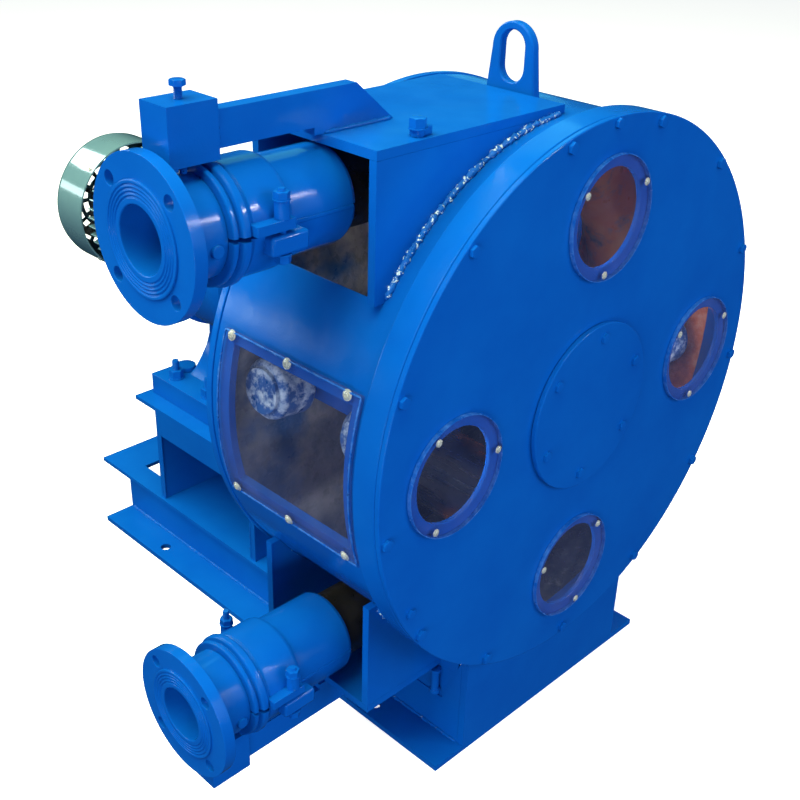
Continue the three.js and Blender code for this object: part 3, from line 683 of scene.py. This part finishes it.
def back_plate():
    plate = slab(SHELL.plate_radius, SHELL.back + GAP, SHELL.plate_end, 1.5, 3, 50)
    turned("drum_back_plate", plate, along_y(), 200, BLUE, ["back_plate"])
    front = SHELL.back - 1.2
    turned("back_wall_grease", slab(398, front, front + 1.1, 0.4, 1, 80), along_y(), 160, WALL)
    seal = bmesh.new()
    start = SHELL.plate_end
    profile = [(36.5, start), (92, start), (92, start + 10), (70, start + 16), (36.5, start + 16)]
    add_lathe(seal, rounded(profile, 2, 3), along_y(), 96)
    add_bolt_circle(seal, 82, turns(8, 22.5), start + 10, BACKWARD, 13)
    piece("shaft_seal_flange", seal, BLUE)


def side_window():
    inner = SHELL.outer + GAP
    outer = inner + SIDE.thick
    low, high = left_angle(SIDE.bottom - SIDE.lap, inner), left_angle(SIDE.top + SIDE.lap, inner)
    start, stop = SIDE.front - SIDE.lap, SIDE.back + SIDE.lap
    pane = slab(outer, start, stop, 1.0, 3, inner)
    turned("side_pane", pane, along_y(), 40, PANE, ["side_window"], (-high, -low))
    # Beads along the side pane's edges carry the edge's painted highlight.
    edge = bmesh.new()
    margin = degrees(2 / outer)
    for y in (start + 1, stop - 1):
        add_bead(edge, shaft_arc(outer, high + margin, low - margin, y, 50), 1.6, round(y), 0.15)
    for angle in (high + margin, low - margin):
        x, z = polar(outer, angle)
        add_bead(edge, [(x, start + 1, z), (x, stop - 1, z)], 1.6, round(angle), 0.15)
    piece("side_pane_edge", edge, EDGE_HIGHLIGHT, sharp=80)
    screws = bmesh.new()
    for z in (126, -116):
        for y in (84, 200, 316):
            x = -sqrt(outer ** 2 - z ** 2)
            add_screw(screws, outward(x, y, z, (x, 0, z)), 6.0, 3.4)
    piece("side_window_screws", screws, SILVER)


def port_boxes():
    beads, painted = bmesh.new(), bmesh.new()
    for side, prefix in ((1, "upper"), (-1, "lower")):
        for part in ("front_plate", "back_plate", "cap_plate"):
            keep(f"{prefix}_box_{part}", BLUE, 1.5)
        keep(f"{prefix}_reaction_arm", BLUE, 1.6)
        for k, y in enumerate((BOX.front - 1, BOX.back + 1)):
            path = shaft_arc(SHELL.outer + 2, 145 * side, 93 * side, y)
            add_bead(beads, path, 4.6, 11 + k + 5 * side, 0.4)
        z = side * (BOX.cap - 12)
        y = BOX.back - 0.5
        add_bead(painted, [(BOX.left + 8, y, z), (BOX.right - 8, y, z)], 2.2, 32 + 5 * side, 0.3)
        end, z = BOX.right + 2, side * 413
        path = [(end, BOX.front + 6, z), (end, BOX.back - 6, z)]
        add_bead(painted, path, 4.2, 41 + side, 0.35)
        top = side * (BOX.cap + 1.5)
        for y in (175, 197):
            add_bead(painted, [(BOX.left + 4, y, top), (-246, y, top)], 2.6, 51 + y + side, 0.4)
        for y in (176, 196):
            add_bead(painted, [(-508, y, side * 438), (-508, y, side * 475)], 2.6, 71 + y + side, 0.35)
    piece("box_weld_beads", beads, WELD, sharp=80)
    piece("painted_weld_beads", painted, BLUE, sharp=80)


def cap_tab():
    """The tab with a hexagon bolt on the near edge of the upper box."""
    block("cap_tab", (-281, -256, 92, 108, BOX.cap, BOX.cap + 12), BLUE, bevel=2.0)
    bolt = bmesh.new()
    add_lathe(bolt, slab(8, 0, 9, 1.0), along_z(-276, 98, BOX.cap), 24)
    add_bolt(bolt, along_z(-276, 98, BOX.cap + 9), 19, 12)
    piece("cap_tab_bolt", bolt, BLUE)


def jack_bolts():
    for side, prefix in ((1, "upper"), (-1, "lower")):
        place = Matrix.Translation((JACK.x, PORT_Y, 0)) @ Matrix.Diagonal((1, 1, side, 1))
        bm = bmesh.new()
        add_thread(bm, place, 4.9, JACK.foot, JACK.head + 0.5, 1.6)
        add_hex(bm, place @ Matrix.Translation((0, 0, JACK.head)), 16, 6.9)
        piece(f"{prefix}_jack_screw", bm, BLUE, [f"{prefix}_jack_bolt"], body=f"{prefix}_jack")


def lifting_eye():
    middle = (EYE.front + EYE.back) / 2
    crown = EYE.top - EYE.crown
    seat = SHELL.outer + GAP
    outline = [(EYE.front, seat), (EYE.back, seat), *arc(EYE.crown, 0, 180, middle, crown, 40)]
    slot = [*arc(EYE.slot, 0, 180, middle, EYE.slot_high, 28),
            *arc(EYE.slot, 180, 360, middle, EYE.slot_low, 28)]
    bm = bmesh.new()
    turn = Matrix(((0, 0, 1, -EYE.thick / 2), (1, 0, 0, 0), (0, 1, 0, 0), (0, 0, 0, 1)))
    add_plate(bm, [outline, slot], EYE.thick, turn)
    piece("lifting_lug", bm, BLUE, ["lifting_eye"], bevel=2.2)
    beads = bmesh.new()
    for k, x in enumerate((-EYE.thick / 2 - 1, EYE.thick / 2 + 1)):
        add_bead(beads, [(x, EYE.front - 2, seat + 1), (x, EYE.back + 2, seat + 1)], 4, 90 + k, 0.3)
    piece("lug_weld_beads", beads, WELD, sharp=80)


# ---- Ports ----
def port(prefix, side):
    centre = dict(y=PORT_Y, z=side * PORT_Z)
    place = along_x(**centre)
    face, back = FLANGE.face, FLANGE.back
    flange = bmesh.new()
    drills = [circle(FLANGE.hole, *polar(FLANGE.pitch, 45 + 90 * k), 28) for k in range(4)]
    ring_start = face + FLANGE.proud
    add_plate(flange, [circle(FLANGE.radius, count=120), circle(FLANGE.bore + 2, count=64), *drills],
              back - ring_start, Matrix.Translation((ring_start, 0, 0)) @ place)
    raised, bore, radius, end = FLANGE.raised, FLANGE.bore, NECK.radius, NECK.end
    grooves = [(raised, ring_start + 1), (raised, face + 0.8), (raised - 0.8, face)]
    for r in (62, 57.5, 53, 48.5):
        grooves += [(r + 1.3, face), (r + 0.7, face + 1.3), (r - 0.7, face + 1.3), (r - 1.3, face)]
    neck = [*grooves, (bore + 1, face), (bore, face + 1), (bore, end - 6), (34, end + 6), (34, -450),
            (37, -452), (37, end), (radius, end), (radius, back + 7), (radius + 3, back + 2),
            (radius + 7, back), (radius + 7, ring_start + 1)]
    add_lathe(flange, neck, place, 120)
    piece(f"{prefix}_flange_and_neck", flange, BLUE, [f"{prefix}_port_flange"], bevel=1.0)

    front, inner, end = NECK.end + GAP, CLAMP.inner, CLAMP.end
    ridges = ((71, 0), (72.5, 1.5), (72.5, 6), (71, 7.5), (68, 8), (68, 10.5), (74, 11.5), (76, 14),
              (76, 21), (73.5, 24), (69, 24.5), (69, 28), (71, 29.5))
    rim = [(inner, front), *[(r, front + x) for r, x in ridges], (71, -449), (69.5, -444), (64.5, -443),
           (63.5, -441), (63.5, end - 9), (61.5, end - 4), (57, end - 0.5), (inner + 1, end),
           (inner, end - 1)]
    for half, sign in (("outer", side), ("inner", -side)):
        sweep = (92.3, 267.7) if sign > 0 else (-87.7, 87.7)
        turned(f"{prefix}_clamp_{half}", rounded(rim, 1.0, 2), place, 72, BLUE,
               [f"{prefix}_clamp_{half}_half"], sweep)
        clamp_lugs(f"{prefix}_clamp_{half}_lugs", centre["z"], sign)
    clamp_bolts(prefix, centre["z"])
    seam = bmesh.new()
    for way in (-1, 1):
        edge = sorted((PORT_Y + way * 61.5, PORT_Y + way * 64))
        add_box(seam, -441, end - 8, *edge, centre["z"] - 2.2, centre["z"] + 2.2)
        plug = outward(-547, PORT_Y + way * 59, centre["z"] - 9, (0, way, 0))
        add_lathe(seam, slab(8, 0, 7, 1.5, 3), plug, 28)
    piece(f"{prefix}_clamp_shims", seam, BLUE, bevel=0.8)


def clamp_lugs(name, middle, sign):
    """The two ears of one clamp half; the upper half's ears carry a turned boss under the nut."""
    bm = bmesh.new()
    for way in (-1, 1):
        edge = sorted((PORT_Y + way * 60, PORT_Y + way * 84.5))
        x = (-507, -452) if sign > 0 else (-487, -432)
        z = sorted((middle + sign * CLAMP.split, middle + sign * (15 if sign > 0 else 27)))
        add_box(bm, *x, *edge, *z)
        if sign > 0:
            base = along_z(CLAMP.bolt_x, PORT_Y + way * 76, middle + 14)
            add_lathe(bm, rounded([(0, 0), (9.5, 0), (9, 22), (0, 22)], 1.5, 3), base, 32)
    piece(name, bm, BLUE, bevel=4.0)


def clamp_bolts(prefix, middle):
    bolts = bmesh.new()
    for way in (-1, 1):
        x, y = CLAMP.bolt_x, PORT_Y + way * 76
        add_bolt(bolts, along_z(x, y, middle + 36), 17, 9)
        add_bolt(bolts, outward(x, y, middle - 27, (0, 0, -1)), 17, 9)
        add_thread(bolts, along_z(x, y, 0), 5, middle - 40, middle + (50 if way < 0 else 60))
    piece(f"{prefix}_clamp_bolts", bolts, BLUE)


def pump_hose():
    """The hose: straight in, half a turn round the rotor, straight out."""
    end, step = HOSE.end, 40
    centres = [((x, PORT_Y, PORT_Z), 90) for x in range(end, 0, step)]
    bend = shaft_arc(PORT_Z, 90, -90, PORT_Y, 72)
    centres += zip(bend, turns(73, 90, -2.5))
    centres += [((-x, PORT_Y, -PORT_Z), -90) for x in range(step, -end, step)]
    centres.append(((end, PORT_Y, -PORT_Z), -90))
    bm = bmesh.new()
    columns = 48
    skins = []
    for radius in (HOSE.outer, HOSE.bore):
        rings = []
        for centre, angle in centres:
            out = Vector((cos(radians(angle)), 0, sin(radians(angle))))
            ring = []
            for i in range(columns):
                a, b = polar(radius, 360 * i / columns)
                ring.append(bm.verts.new(Vector(centre) + out * a + Vector((0, b, 0))))
            rings.append(ring)
        bridge(bm, rings)
        skins.append(rings)
    for mouth in (0, -1):
        bridge(bm, [skin[mouth] for skin in skins])
    piece("rubber_hose", bm, RUBBER, ["pump_hose"])


# ---- Rotor ----
def rotor():
    turn = about_shaft(TILT)
    frame_piece = bmesh.new()
    add_lathe(frame_piece, slab(78, 100, 294, 3, 3, 35.3), turn @ along_y(), 64)
    reach = PRESS.reach
    cheek = [*arc(60, -90, 90, reach, 0, 24), *arc(60, 90, 270, -reach, 0, 24)]
    bores = [circle(36, count=40)] + [circle(20.4, s * reach, 0, 28) for s in (1, -1)]
    for y in (116, 294):
        add_plate(frame_piece, [cheek, *bores], 16, turn @ upright(y))
    for s in (1, -1):
        arm = sorted((s * 70, s * (GUIDE.bar - 14)))
        add_box(frame_piece, -28, 28, PORT_Y - 32, PORT_Y + 32, *arm, turn)
        bar = sorted((s * (GUIDE.bar - 14), s * (GUIDE.bar + 14)))
        add_box(frame_piece, -25, 25, PORT_Y - 114, PORT_Y + 114, *bar, turn)
    piece("rotor_weldment", frame_piece, BLUE, ["rotor_frame"], body="rotor", bevel=2.5)

    caps = bmesh.new()
    for s in (1, -1):
        for y in (PORT_Y - GUIDE.spread, PORT_Y + GUIDE.spread):
            place = turn @ outward(0, y, s * (GUIDE.far + 0.3), (0, 0, s))
            add_lathe(caps, slab(GUIDE.cap, 0, 6.5, 1.2, 3), place, 56)
            stub = [(0, -40), (GUIDE.axle, -40), (GUIDE.axle, 0.5), (0, 0.5)]
            add_lathe(caps, stub, place, 32)
            for dx, dy in (polar(25, angle) for angle in turns(6, 15)):
                add_bolt(caps, place @ Matrix.Translation((dx, dy, 0)), 9, 5.5, washer=False)
    piece("guide_roller_caps", caps, CAST, body="rotor")

    for mark, s in (("a", 1), ("b", -1)):
        node = f"press_roller_{mark}"
        r, bore, front, back = PRESS.radius, PRESS.axle + GAP, PRESS.front, PRESS.back
        body = [(bore, front), (r - 9, front), (r, front + 9), (r, back - 9), (r - 9, back), (bore, back)]
        turned(f"press_roller_body_{mark}", rounded(body, 4, 4), turn @ along_y(s * reach), 80, BRIGHT,
               [node], body=node)
        axle = bmesh.new()
        add_lathe(axle, slab(PRESS.axle, 94, 300, 1.5, 3), turn @ along_y(s * reach, 0), 48)
        for y, way in ((94, -1), (300, 1)):
            add_lathe(axle, slab(15, 0, 1.8, 0.5), turn @ outward(s * reach, y, 0, (0, way, 0)), 32)
        piece(f"press_axle_{mark}", axle, BRIGHT, [f"press_roller_axle_{mark}"], body="rotor")
        for place_name, y in (("front", PORT_Y - GUIDE.spread), ("back", PORT_Y + GUIDE.spread)):
            r, bore = GUIDE.radius, GUIDE.axle + 0.4
            body = [(bore, 0), (r - 6, 0), (r, 6), (r, 56), (r - 6, 62), (bore, 62)]
            node = f"guide_roller_{mark}_{place_name}"
            place = turn @ outward(0, y, s * GUIDE.near, (0, 0, s))
            turned(f"{node}_body", rounded(body, 3, 3), place, 64, CAST, [node], body=node)
    turned("main_shaft", slab(35, 92, 632, 2, 3), along_y(), 64, BRIGHT, ["rotor_shaft"], body="rotor")


# ---- Skid ----
def skid():
    for node in ("left_foot_rail", "right_foot_rail", "front_support_plate", "rear_saddle_plate",
                 "deck_plate", "pedestal_front_plate", "pedestal_back_plate", "bearing_seat", "gear_table",
                 "table_rear_leg"):
        keep(node, BLUE, 1.3)
    beads = bmesh.new()
    foot, web, edge = FLOOR + 10.5, RAIL.web, RAIL.table_edge
    seams = ((web, 40, foot, 470, foot, 3.0, 201, 0.3), (web, 490, foot, 962, foot, 3.0, 211, 0.3),
             (edge, 492, -487, 962, -487, 2.2, 221, 0.3), (edge, 549, -275, 549, -330, 2.2, 231, 0.3),
             (web - 1, 471, foot + 1.5, 471, -345, 2.4, 241, 0.35),
             (web - 1, 561, -478, 561, -336, 2.0, 251, 0.3),
             (web - 1, 835, -478, 835, -336, 2.0, 261, 0.3))
    for s in (1, -1):
        for x, y0, z0, y1, z1, radius, seed, bumpy in seams:
            add_bead(beads, [(s * x, y0, z0), (s * x, y1, z1)], radius, seed + s, bumpy)
    stop = degrees(asin(edge / 425))
    for y, seed in ((24, 271), (38, 273)):
        add_bead(beads, shaft_arc(425.5, -90 - stop, -90 + stop, y), 2.8, seed, 0.3)
    piece("skid_weld_beads", beads, BLUE, sharp=80)
    stub = [(0, 0), (9, 0), (9, 6), (6.5, 7), (6.5, 40), (8.5, 41), (8.5, 47), (0, 47)]
    turned("drain_stub", rounded(stub, 0.8, 2), along_z(-208, 84, -476), 28, BLUE)
    fillers = bmesh.new()
    for x0, x1 in ((-197.8, -193.2), (193.2, 197.8)):
        add_box(fillers, x0, x1, 46, 309, -425.5, -368)
    piece("drum_seat_fillers", fillers, BLUE)


def bearing_unit():
    bm = bmesh.new()
    front, back = BEARING.front, BEARING.back
    profile = [(38, front), (80, front), (88, front + 6), (88, back - 6), (80, back), (61, back),
               (61, front + 14), (38, front + 14)]
    add_lathe(bm, rounded(profile, 2, 3), along_y(), 96)
    add_box(bm, -66, 66, front + 2, back - 2, BEARING.seat, -40)
    add_box(bm, -115, 115, front + 8, back - 8, BEARING.seat, BEARING.foot)
    piece("bearing_body", bm, BLUE, ["bearing_housing"], bevel=4)
    race = [(35.3, front + 14.3), (60, front + 14.3), (60, back), (54, back), (54, back - 3),
            (42, back - 3), (42, back), (35.3, back)]
    turned("bearing_race", rounded(race, 0.8, 2), along_y(), 80, BRIGHT, ["rotor_bearing"])
    bolts = bmesh.new()
    for x in (-95, 95):
        for y in (front + 20, back - 20):
            add_bolt(bolts, along_z(x, y, BEARING.foot + GAP), 19)
    add_bolt_circle(bolts, BEARING.bolts, turns(6), front, FORWARD, 13)
    piece("bearing_bolts", bolts, BLUE)


# ---- Drive ----
def coupling():
    bm = bmesh.new()
    front, near, far, back = COUPLING.front, *COUPLING.faces, COUPLING.back
    joint, step = COUPLING.joint, far - 1
    profile = [(35.6, front), (50, front), (52, front + 2), (52, near - 2), (56, near), (76, near),
               (78, near + 2), (78, joint - 0.6), (77, joint), (78, joint + 0.6), (78, far - 2), (76, far),
               (56, far), (52, far + 2), (52, back - 2), (50, back), (30.6, back), (30.6, step),
               (35.6, step)]
    add_lathe(bm, profile, along_y(), 96)
    add_bolt_circle(bm, COUPLING.bolts, turns(6), far, BACKWARD, 13, 8, washer=False)
    add_bolt_circle(bm, COUPLING.bolts, turns(6), near, FORWARD, 13, 7, washer=False)
    piece("coupling_flanges", bm, BRIGHT, ["shaft_coupling"], body="rotor")


def gearbox():
    """The round gearbox casting on its foot, with flange bolts, filler and drain plugs."""
    front, nose, barrel, rear = GEARBOX.front, GEARBOX.nose, GEARBOX.barrel, GEARBOX.rear
    rim = barrel + 8
    profile = [(33, front), (66, front), (72, front + 4), (80, nose - 4), (86, nose), (128, nose + 6),
               (142, nose + 12), (barrel - 2, nose + 24), (barrel, nose + 34), (barrel, rear - 52),
               (rim, rear - 48), (rim, rear - 28), (rim - 3, rear - 25), (rim, rear - 22), (rim, rear),
               (GEARBOX.bore, rear), (GEARBOX.bore, nose + 24), (33, nose + 24)]
    turned("gearbox_casting", rounded(profile, 2, 3), along_y(), 128, BLUE,
           ["gearbox_nose", "gearbox_housing"])
    foot = bmesh.new()
    table = GEARBOX.table + GAP
    pad = table + 42
    for s in (1, -1):
        inner, outer = sorted((s * 92, s * 167))
        add_box(foot, inner, outer, nose + 30, rear - 4, table, pad)
        boss = [(0, 0), (21, 0), (20, 11), (0, 11)]
        for y in (nose + 58, rear - 32):
            add_lathe(foot, rounded(boss, 2, 3), along_z(s * 106, y, pad - 1), 40)
    flank = [(124, 0), (100, 14), (84, 34), (70, 56), (62, 78), (60, 122)]
    web = [(x, pad - 6 + z) for x, z in flank] + [(-x, pad - 6 + z) for x, z in reversed(flank)]
    add_plate(foot, [web], rear - 55 - (nose + 44), upright(rear - 55))
    piece("gearbox_foot", foot, BLUE, bevel=4)
    trim = bmesh.new()
    add_bolt_circle(trim, (barrel + 1) * 0.965, turns(12, 15), rear - 48, FORWARD, 13, 8)
    for s in (1, -1):
        for y in (nose + 60, rear - 52):
            add_bolt(trim, along_z(s * 142, y, pad), 24, 16)
            add_thread(trim, along_z(s * 142, y, pad), 7, 12, 38)
    add_bolt_circle(trim, GEARBOX.nose_bolts, turns(8, 22.5), nose + 1.5, FORWARD, 13, 8)
    add_bolt(trim, along_z(0, 800, barrel - 1), 27, 14)
    add_bolt(trim, outward(barrel - 1, 830, 0, (1, 0, 0)), 22, 8)
    add_bolt(trim, outward(-barrel + 1, 830, -20, (-1, 0, 0)), 22, 8)
    piece("gearbox_fasteners", trim, BLUE)


def motor():
    front, end, flange, barrel = MOTOR.front, MOTOR.end, MOTOR.flange, MOTOR.barrel
    bm = bmesh.new()
    profile = [(22, front), (flange, front), (flange, front + 18), (122, front + 22), (114, front + 34),
               (barrel, front + 40), (barrel, end - 18), (100, end - 6), (60, end), (22, end),
               (22, end - 20), (62, end - 20), (62, front + 36), (22, front + 36)]
    add_lathe(bm, rounded(profile, 1.5, 2), along_y(), 128)
    for k in range(44):
        angle = 360 * (k + 0.5) / 44
        if abs((angle + 180) % 360 - 180) < 24:
            continue
        add_box(bm, 104, MOTOR.tip, front + 36, end - 22, -1.5, 1.5, about_shaft(angle))
    piece("motor_casing", bm, TEAL, ["motor_body"], bevel=0.8)
    near, far, half = TERMINAL.front, TERMINAL.back, TERMINAL.half
    block("terminal_box_seat", (98, 142, near, far, -half + 3, half - 3), TEAL, bevel=3)
    bolts = bmesh.new()
    add_bolt_circle(bolts, MOTOR.bolts, turns(8, 22.5), front + 18.5, BACKWARD, 15)
    piece("motor_flange_bolts", bolts, SILVER)
    block("terminal_box_body", (142.3, 184, near, far, -half, half), TEAL, ["terminal_box"], bevel=5)
    lid = (184.4, 191.5, near - 5, far + 5, -half - 5, half + 5)
    block("terminal_box_lid", lid, TEAL, bevel=2.5)
    screws = bmesh.new()
    for y in (near + 5, far - 5):
        for z in (5 - half, half - 5):
            add_screw(screws, outward(189.6, y, z, (1, 0, 0)), 3.6, 1.0)
    piece("terminal_box_screws", screws, SILVER)
    gland = bmesh.new()
    place = outward(165, (near + far) / 2, -half, (0, 0, -1))
    add_hex(gland, place, 27, 9)
    add_lathe(gland, rounded([(0, 9), (11.5, 9), (11.5, 17), (8, 19), (0, 19)], 1, 2), place, 40)
    piece("cable_gland", gland, PLASTIC)


def fan_cowl():
    """A pressed cowl with a rolled rear edge and rings of slots in its back."""
    front, radius, shoulder, end, wall = COWL.front, COWL.radius, COWL.shoulder, COWL.end, COWL.wall
    inner = radius - wall
    outside = [(radius, front), (radius, shoulder), (radius - 2, shoulder + 9), (radius - 8, end - 5),
               (radius - 18, end - 1), (radius - 28, end)]
    inside = [(radius - 28, end - wall), (radius - 19, end - wall - 1), (inner - 7, end - 8),
              (inner - 1, shoulder + 8), (inner, shoulder), (inner, front)]
    turned("cowl_skin", outside + inside, along_y(), 128, TEAL, ["fan_cowl"])
    grille = bmesh.new()
    slots = []
    for ring, count in ((42, 9), (62, 13), (82, 18), (101, 22)):
        for k in range(count):
            middle, half = 360 * k / count, 360 / count * 0.36
            slots.append(arc(ring + 6, middle - half, middle + half, count=8)
                         + arc(ring - 6, middle + half, middle - half, count=8))
    add_plate(grille, [circle(radius - 26.5, count=120), *slots], 2.4, upright(end - 0.3))
    piece("cowl_grille", grille, TEAL, bevel=0.5)
    screws = bmesh.new()
    for k in range(4):
        x, z = polar(radius - 0.6, 45 + 90 * k)
        add_screw(screws, outward(x, front + 12, z, (x, 0, z)), 4.5, 2.2)
    piece("cowl_screws", screws, SILVER)


def hidden_drive():
    """Inner drive parts keep their CAD shapes, with a proper finish."""
    keep("output_shaft", BRIGHT, 0.6)
    keep("cycloid_disc", BRIGHT, 0.0)
    keep("motor_shaft", BRIGHT, 0.6)
    keep("cooling_fan", PLASTIC, 0.6)


front_cover()
cover_bolts()
hub_cover()
windows()
front_ring()
drum_shell()
back_plate()
side_window()
port_boxes()
cap_tab()
jack_bolts()
lifting_eye()
port("upper", 1)
port("lower", -1)
pump_hose()
rotor()
skid()
bearing_unit()
coupling()
gearbox()
motor()
fan_cowl()
hidden_drive()


# ---- Floor, light and camera ----
def stage_floor():
    bm = bmesh.new()
    bmesh.ops.create_grid(bm, x_segments=2, y_segments=2, size=60.0)
    floor = new_object("studio_floor", bm)
    floor.location.z = -0.0005
    floor.visible_glossy = False
    floor.visible_diffuse = False
    ground = Finish("studio_floor", "blue_paint")
    ground.colour(ground.clouds((3, 2), (0.3, (0.86, 0.87, 0.88)), (0.7, (0.9, 0.9, 0.91))))
    ground.set(Roughness=0.8, Emission_Color=(1, 1, 1, 1), Emission_Strength=0.8)
    floor.data.materials.append(ground.material)


def add_lamp(name, kind, place, power, colour, mirrored=False):
    """A light; only a mirrored one shows up as a reflection in the paint."""
    light = bpy.data.lights.new(name, kind)
    light.energy = power
    light.color = colour
    obj = bpy.data.objects.new(name, light)
    obj.location = place
    obj.visible_glossy = mirrored
    obj.visible_camera = False
    SCENE.collection.objects.link(obj)
    return obj


# Soft panels aimed at the pump: name, place, width, height, power, colour, mirrored, aim if it differs.
MIDDLE = (-0.1, 0.3, 0.6)
PANELS = (
    ("overhead_softbox", (-1.0, 0.7, 3.6), 3.4, 3.4, 320, (1.0, 1.0, 0.6), False),
    ("front_fill", (0.9, -3.7, 1.7), 3.0, 2.2, 106, (0.9, 0.95, 1.0), False),
    ("left_fill", (-3.1, 0.5, 2.9), 2.4, 2.2, 74, (0.9, 0.98, 0.95), False),
    ("right_fill", (3.4, 0.6, 1.8), 2.4, 2.2, 60, (0.95, 0.98, 1.0), False),
    ("low_fill", (-2.3, -1.3, 0.25), 2.4, 0.5, 42, (0.9, 0.98, 1.0), False, (-0.1, 0.3, 0.2)),
    ("front_lamp", (2.3, -3.4, 2.8), 0.4, 0.22, 26, (1, 1, 1), True),
    ("rear_low_window", (-2.9, 4.3, 1.15), 2.2, 0.55, 13, (0.8, 1.0, 1.0), True),
    ("rear_left_lamp", (-1.4, 3.1, 3.8), 0.6, 0.6, 10, (0.9, 0.97, 1.0), True),
    ("rear_lamp", (0.6, 3.05, 4.1), 0.5, 0.5, 6, (0.9, 0.97, 1.0), True),
    ("rear_window", (-0.8, 5.0, 3.0), 1.7, 0.9, 30, (0.85, 1.0, 0.98), True, (-0.2, 1.15, 0.6)),
    ("rear_right_window", (3.0, 3.2, 1.1), 1.6, 0.6, 2.2, (0.12, 0.75, 1.0), True),
    ("rear_right_sky", (2.2, 2.9, 3.4), 1.6, 1.6, 10, (0.15, 0.9, 1.0), True),
)


def add_panel(name, place, width, height, power, colour, mirrored, aim=MIDDLE):
    obj = add_lamp(name, "AREA", place, power, colour, mirrored)
    obj.data.shape = "RECTANGLE"
    obj.data.size, obj.data.size_y = width, height
    obj.rotation_mode = "QUATERNION"
    obj.rotation_quaternion = (Vector(aim) - Vector(place)).to_track_quat("-Z", "Y")


def inside_light(name, place, power):
    """A small warm lamp behind a window, so that the works can be seen."""
    obj = add_lamp(name, "POINT", TO_ROW @ Vector(place), power, (1.0, 0.9, 0.8))
    obj.data.shadow_soft_size = 0.02


def lighting():
    """A faint sky lights the pump, and a white backdrop stands behind it in every view."""
    world = bpy.data.worlds.new("studio")
    SCENE.world = world
    world.use_nodes = True
    nodes, link = world.node_tree.nodes, world.node_tree.links.new
    sky = nodes["Background"]
    backdrop = nodes.new("ShaderNodeBackground")
    for node, colour, strength in ((sky, (0.25, 0.7, 1.0, 1.0), 0.06), (backdrop, (1, 1, 1, 1), 1.0)):
        node.inputs["Color"].default_value = colour
        node.inputs["Strength"].default_value = strength
    seen = nodes.new("ShaderNodeLightPath")
    both = nodes.new("ShaderNodeMixShader")
    link(seen.outputs["Is Camera Ray"], both.inputs["Fac"])
    link(sky.outputs["Background"], both.inputs[1])
    link(backdrop.outputs["Background"], both.inputs[2])
    link(both.outputs["Shader"], nodes["World Output"].inputs["Surface"])
    for panel in PANELS:
        add_panel(*panel)
    for place, angle in WINDOW_ANGLES.items():
        x, z = polar(WINDOW.pitch - 30, angle)
        inside_light(f"{place}_inside_fill", (x, 34, z), 0.22)
    inside_light("side_inside_fill", (-340, 90, 60), 3.0)


# Fitted to the photograph: angles in degrees, the lens in mm on a 36 mm frame, the place in mm.
PHOTO = Sizes(azimuth=-45.66, elevation=28.38, roll=1.75, lens=51.126, place=(-1237.06, -825.54, 788.56))


def photo_camera():
    """The camera stands at the left front, above the pump, and looks down on it."""
    azimuth, elevation, roll = (radians(a) for a in (PHOTO.azimuth, PHOTO.elevation, PHOTO.roll))
    level = Vector((cos(azimuth), sin(azimuth), 0))
    away = Vector((sin(azimuth), -cos(azimuth), 0))
    back = away * cos(elevation) + Vector((0, 0, sin(elevation)))
    above = back.cross(level)
    right = level * cos(roll) + above * sin(roll)
    up = above * cos(roll) - level * sin(roll)
    data = bpy.data.cameras.new("camera")
    data.sensor_width = 36.0
    data.lens = PHOTO.lens
    data.clip_start, data.clip_end = 0.05, 60.0
    camera = bpy.data.objects.new("camera", data)
    turn = Matrix((right, up, back)).transposed().to_4x4()
    camera.matrix_world = Matrix.Translation(SHAFT + Vector(PHOTO.place) * MM) @ turn
    SCENE.collection.objects.link(camera)
    bpy.context.scene.camera = camera


stage_floor()
lighting()
photo_camera()
SCENE.view_settings.view_transform = "Standard"
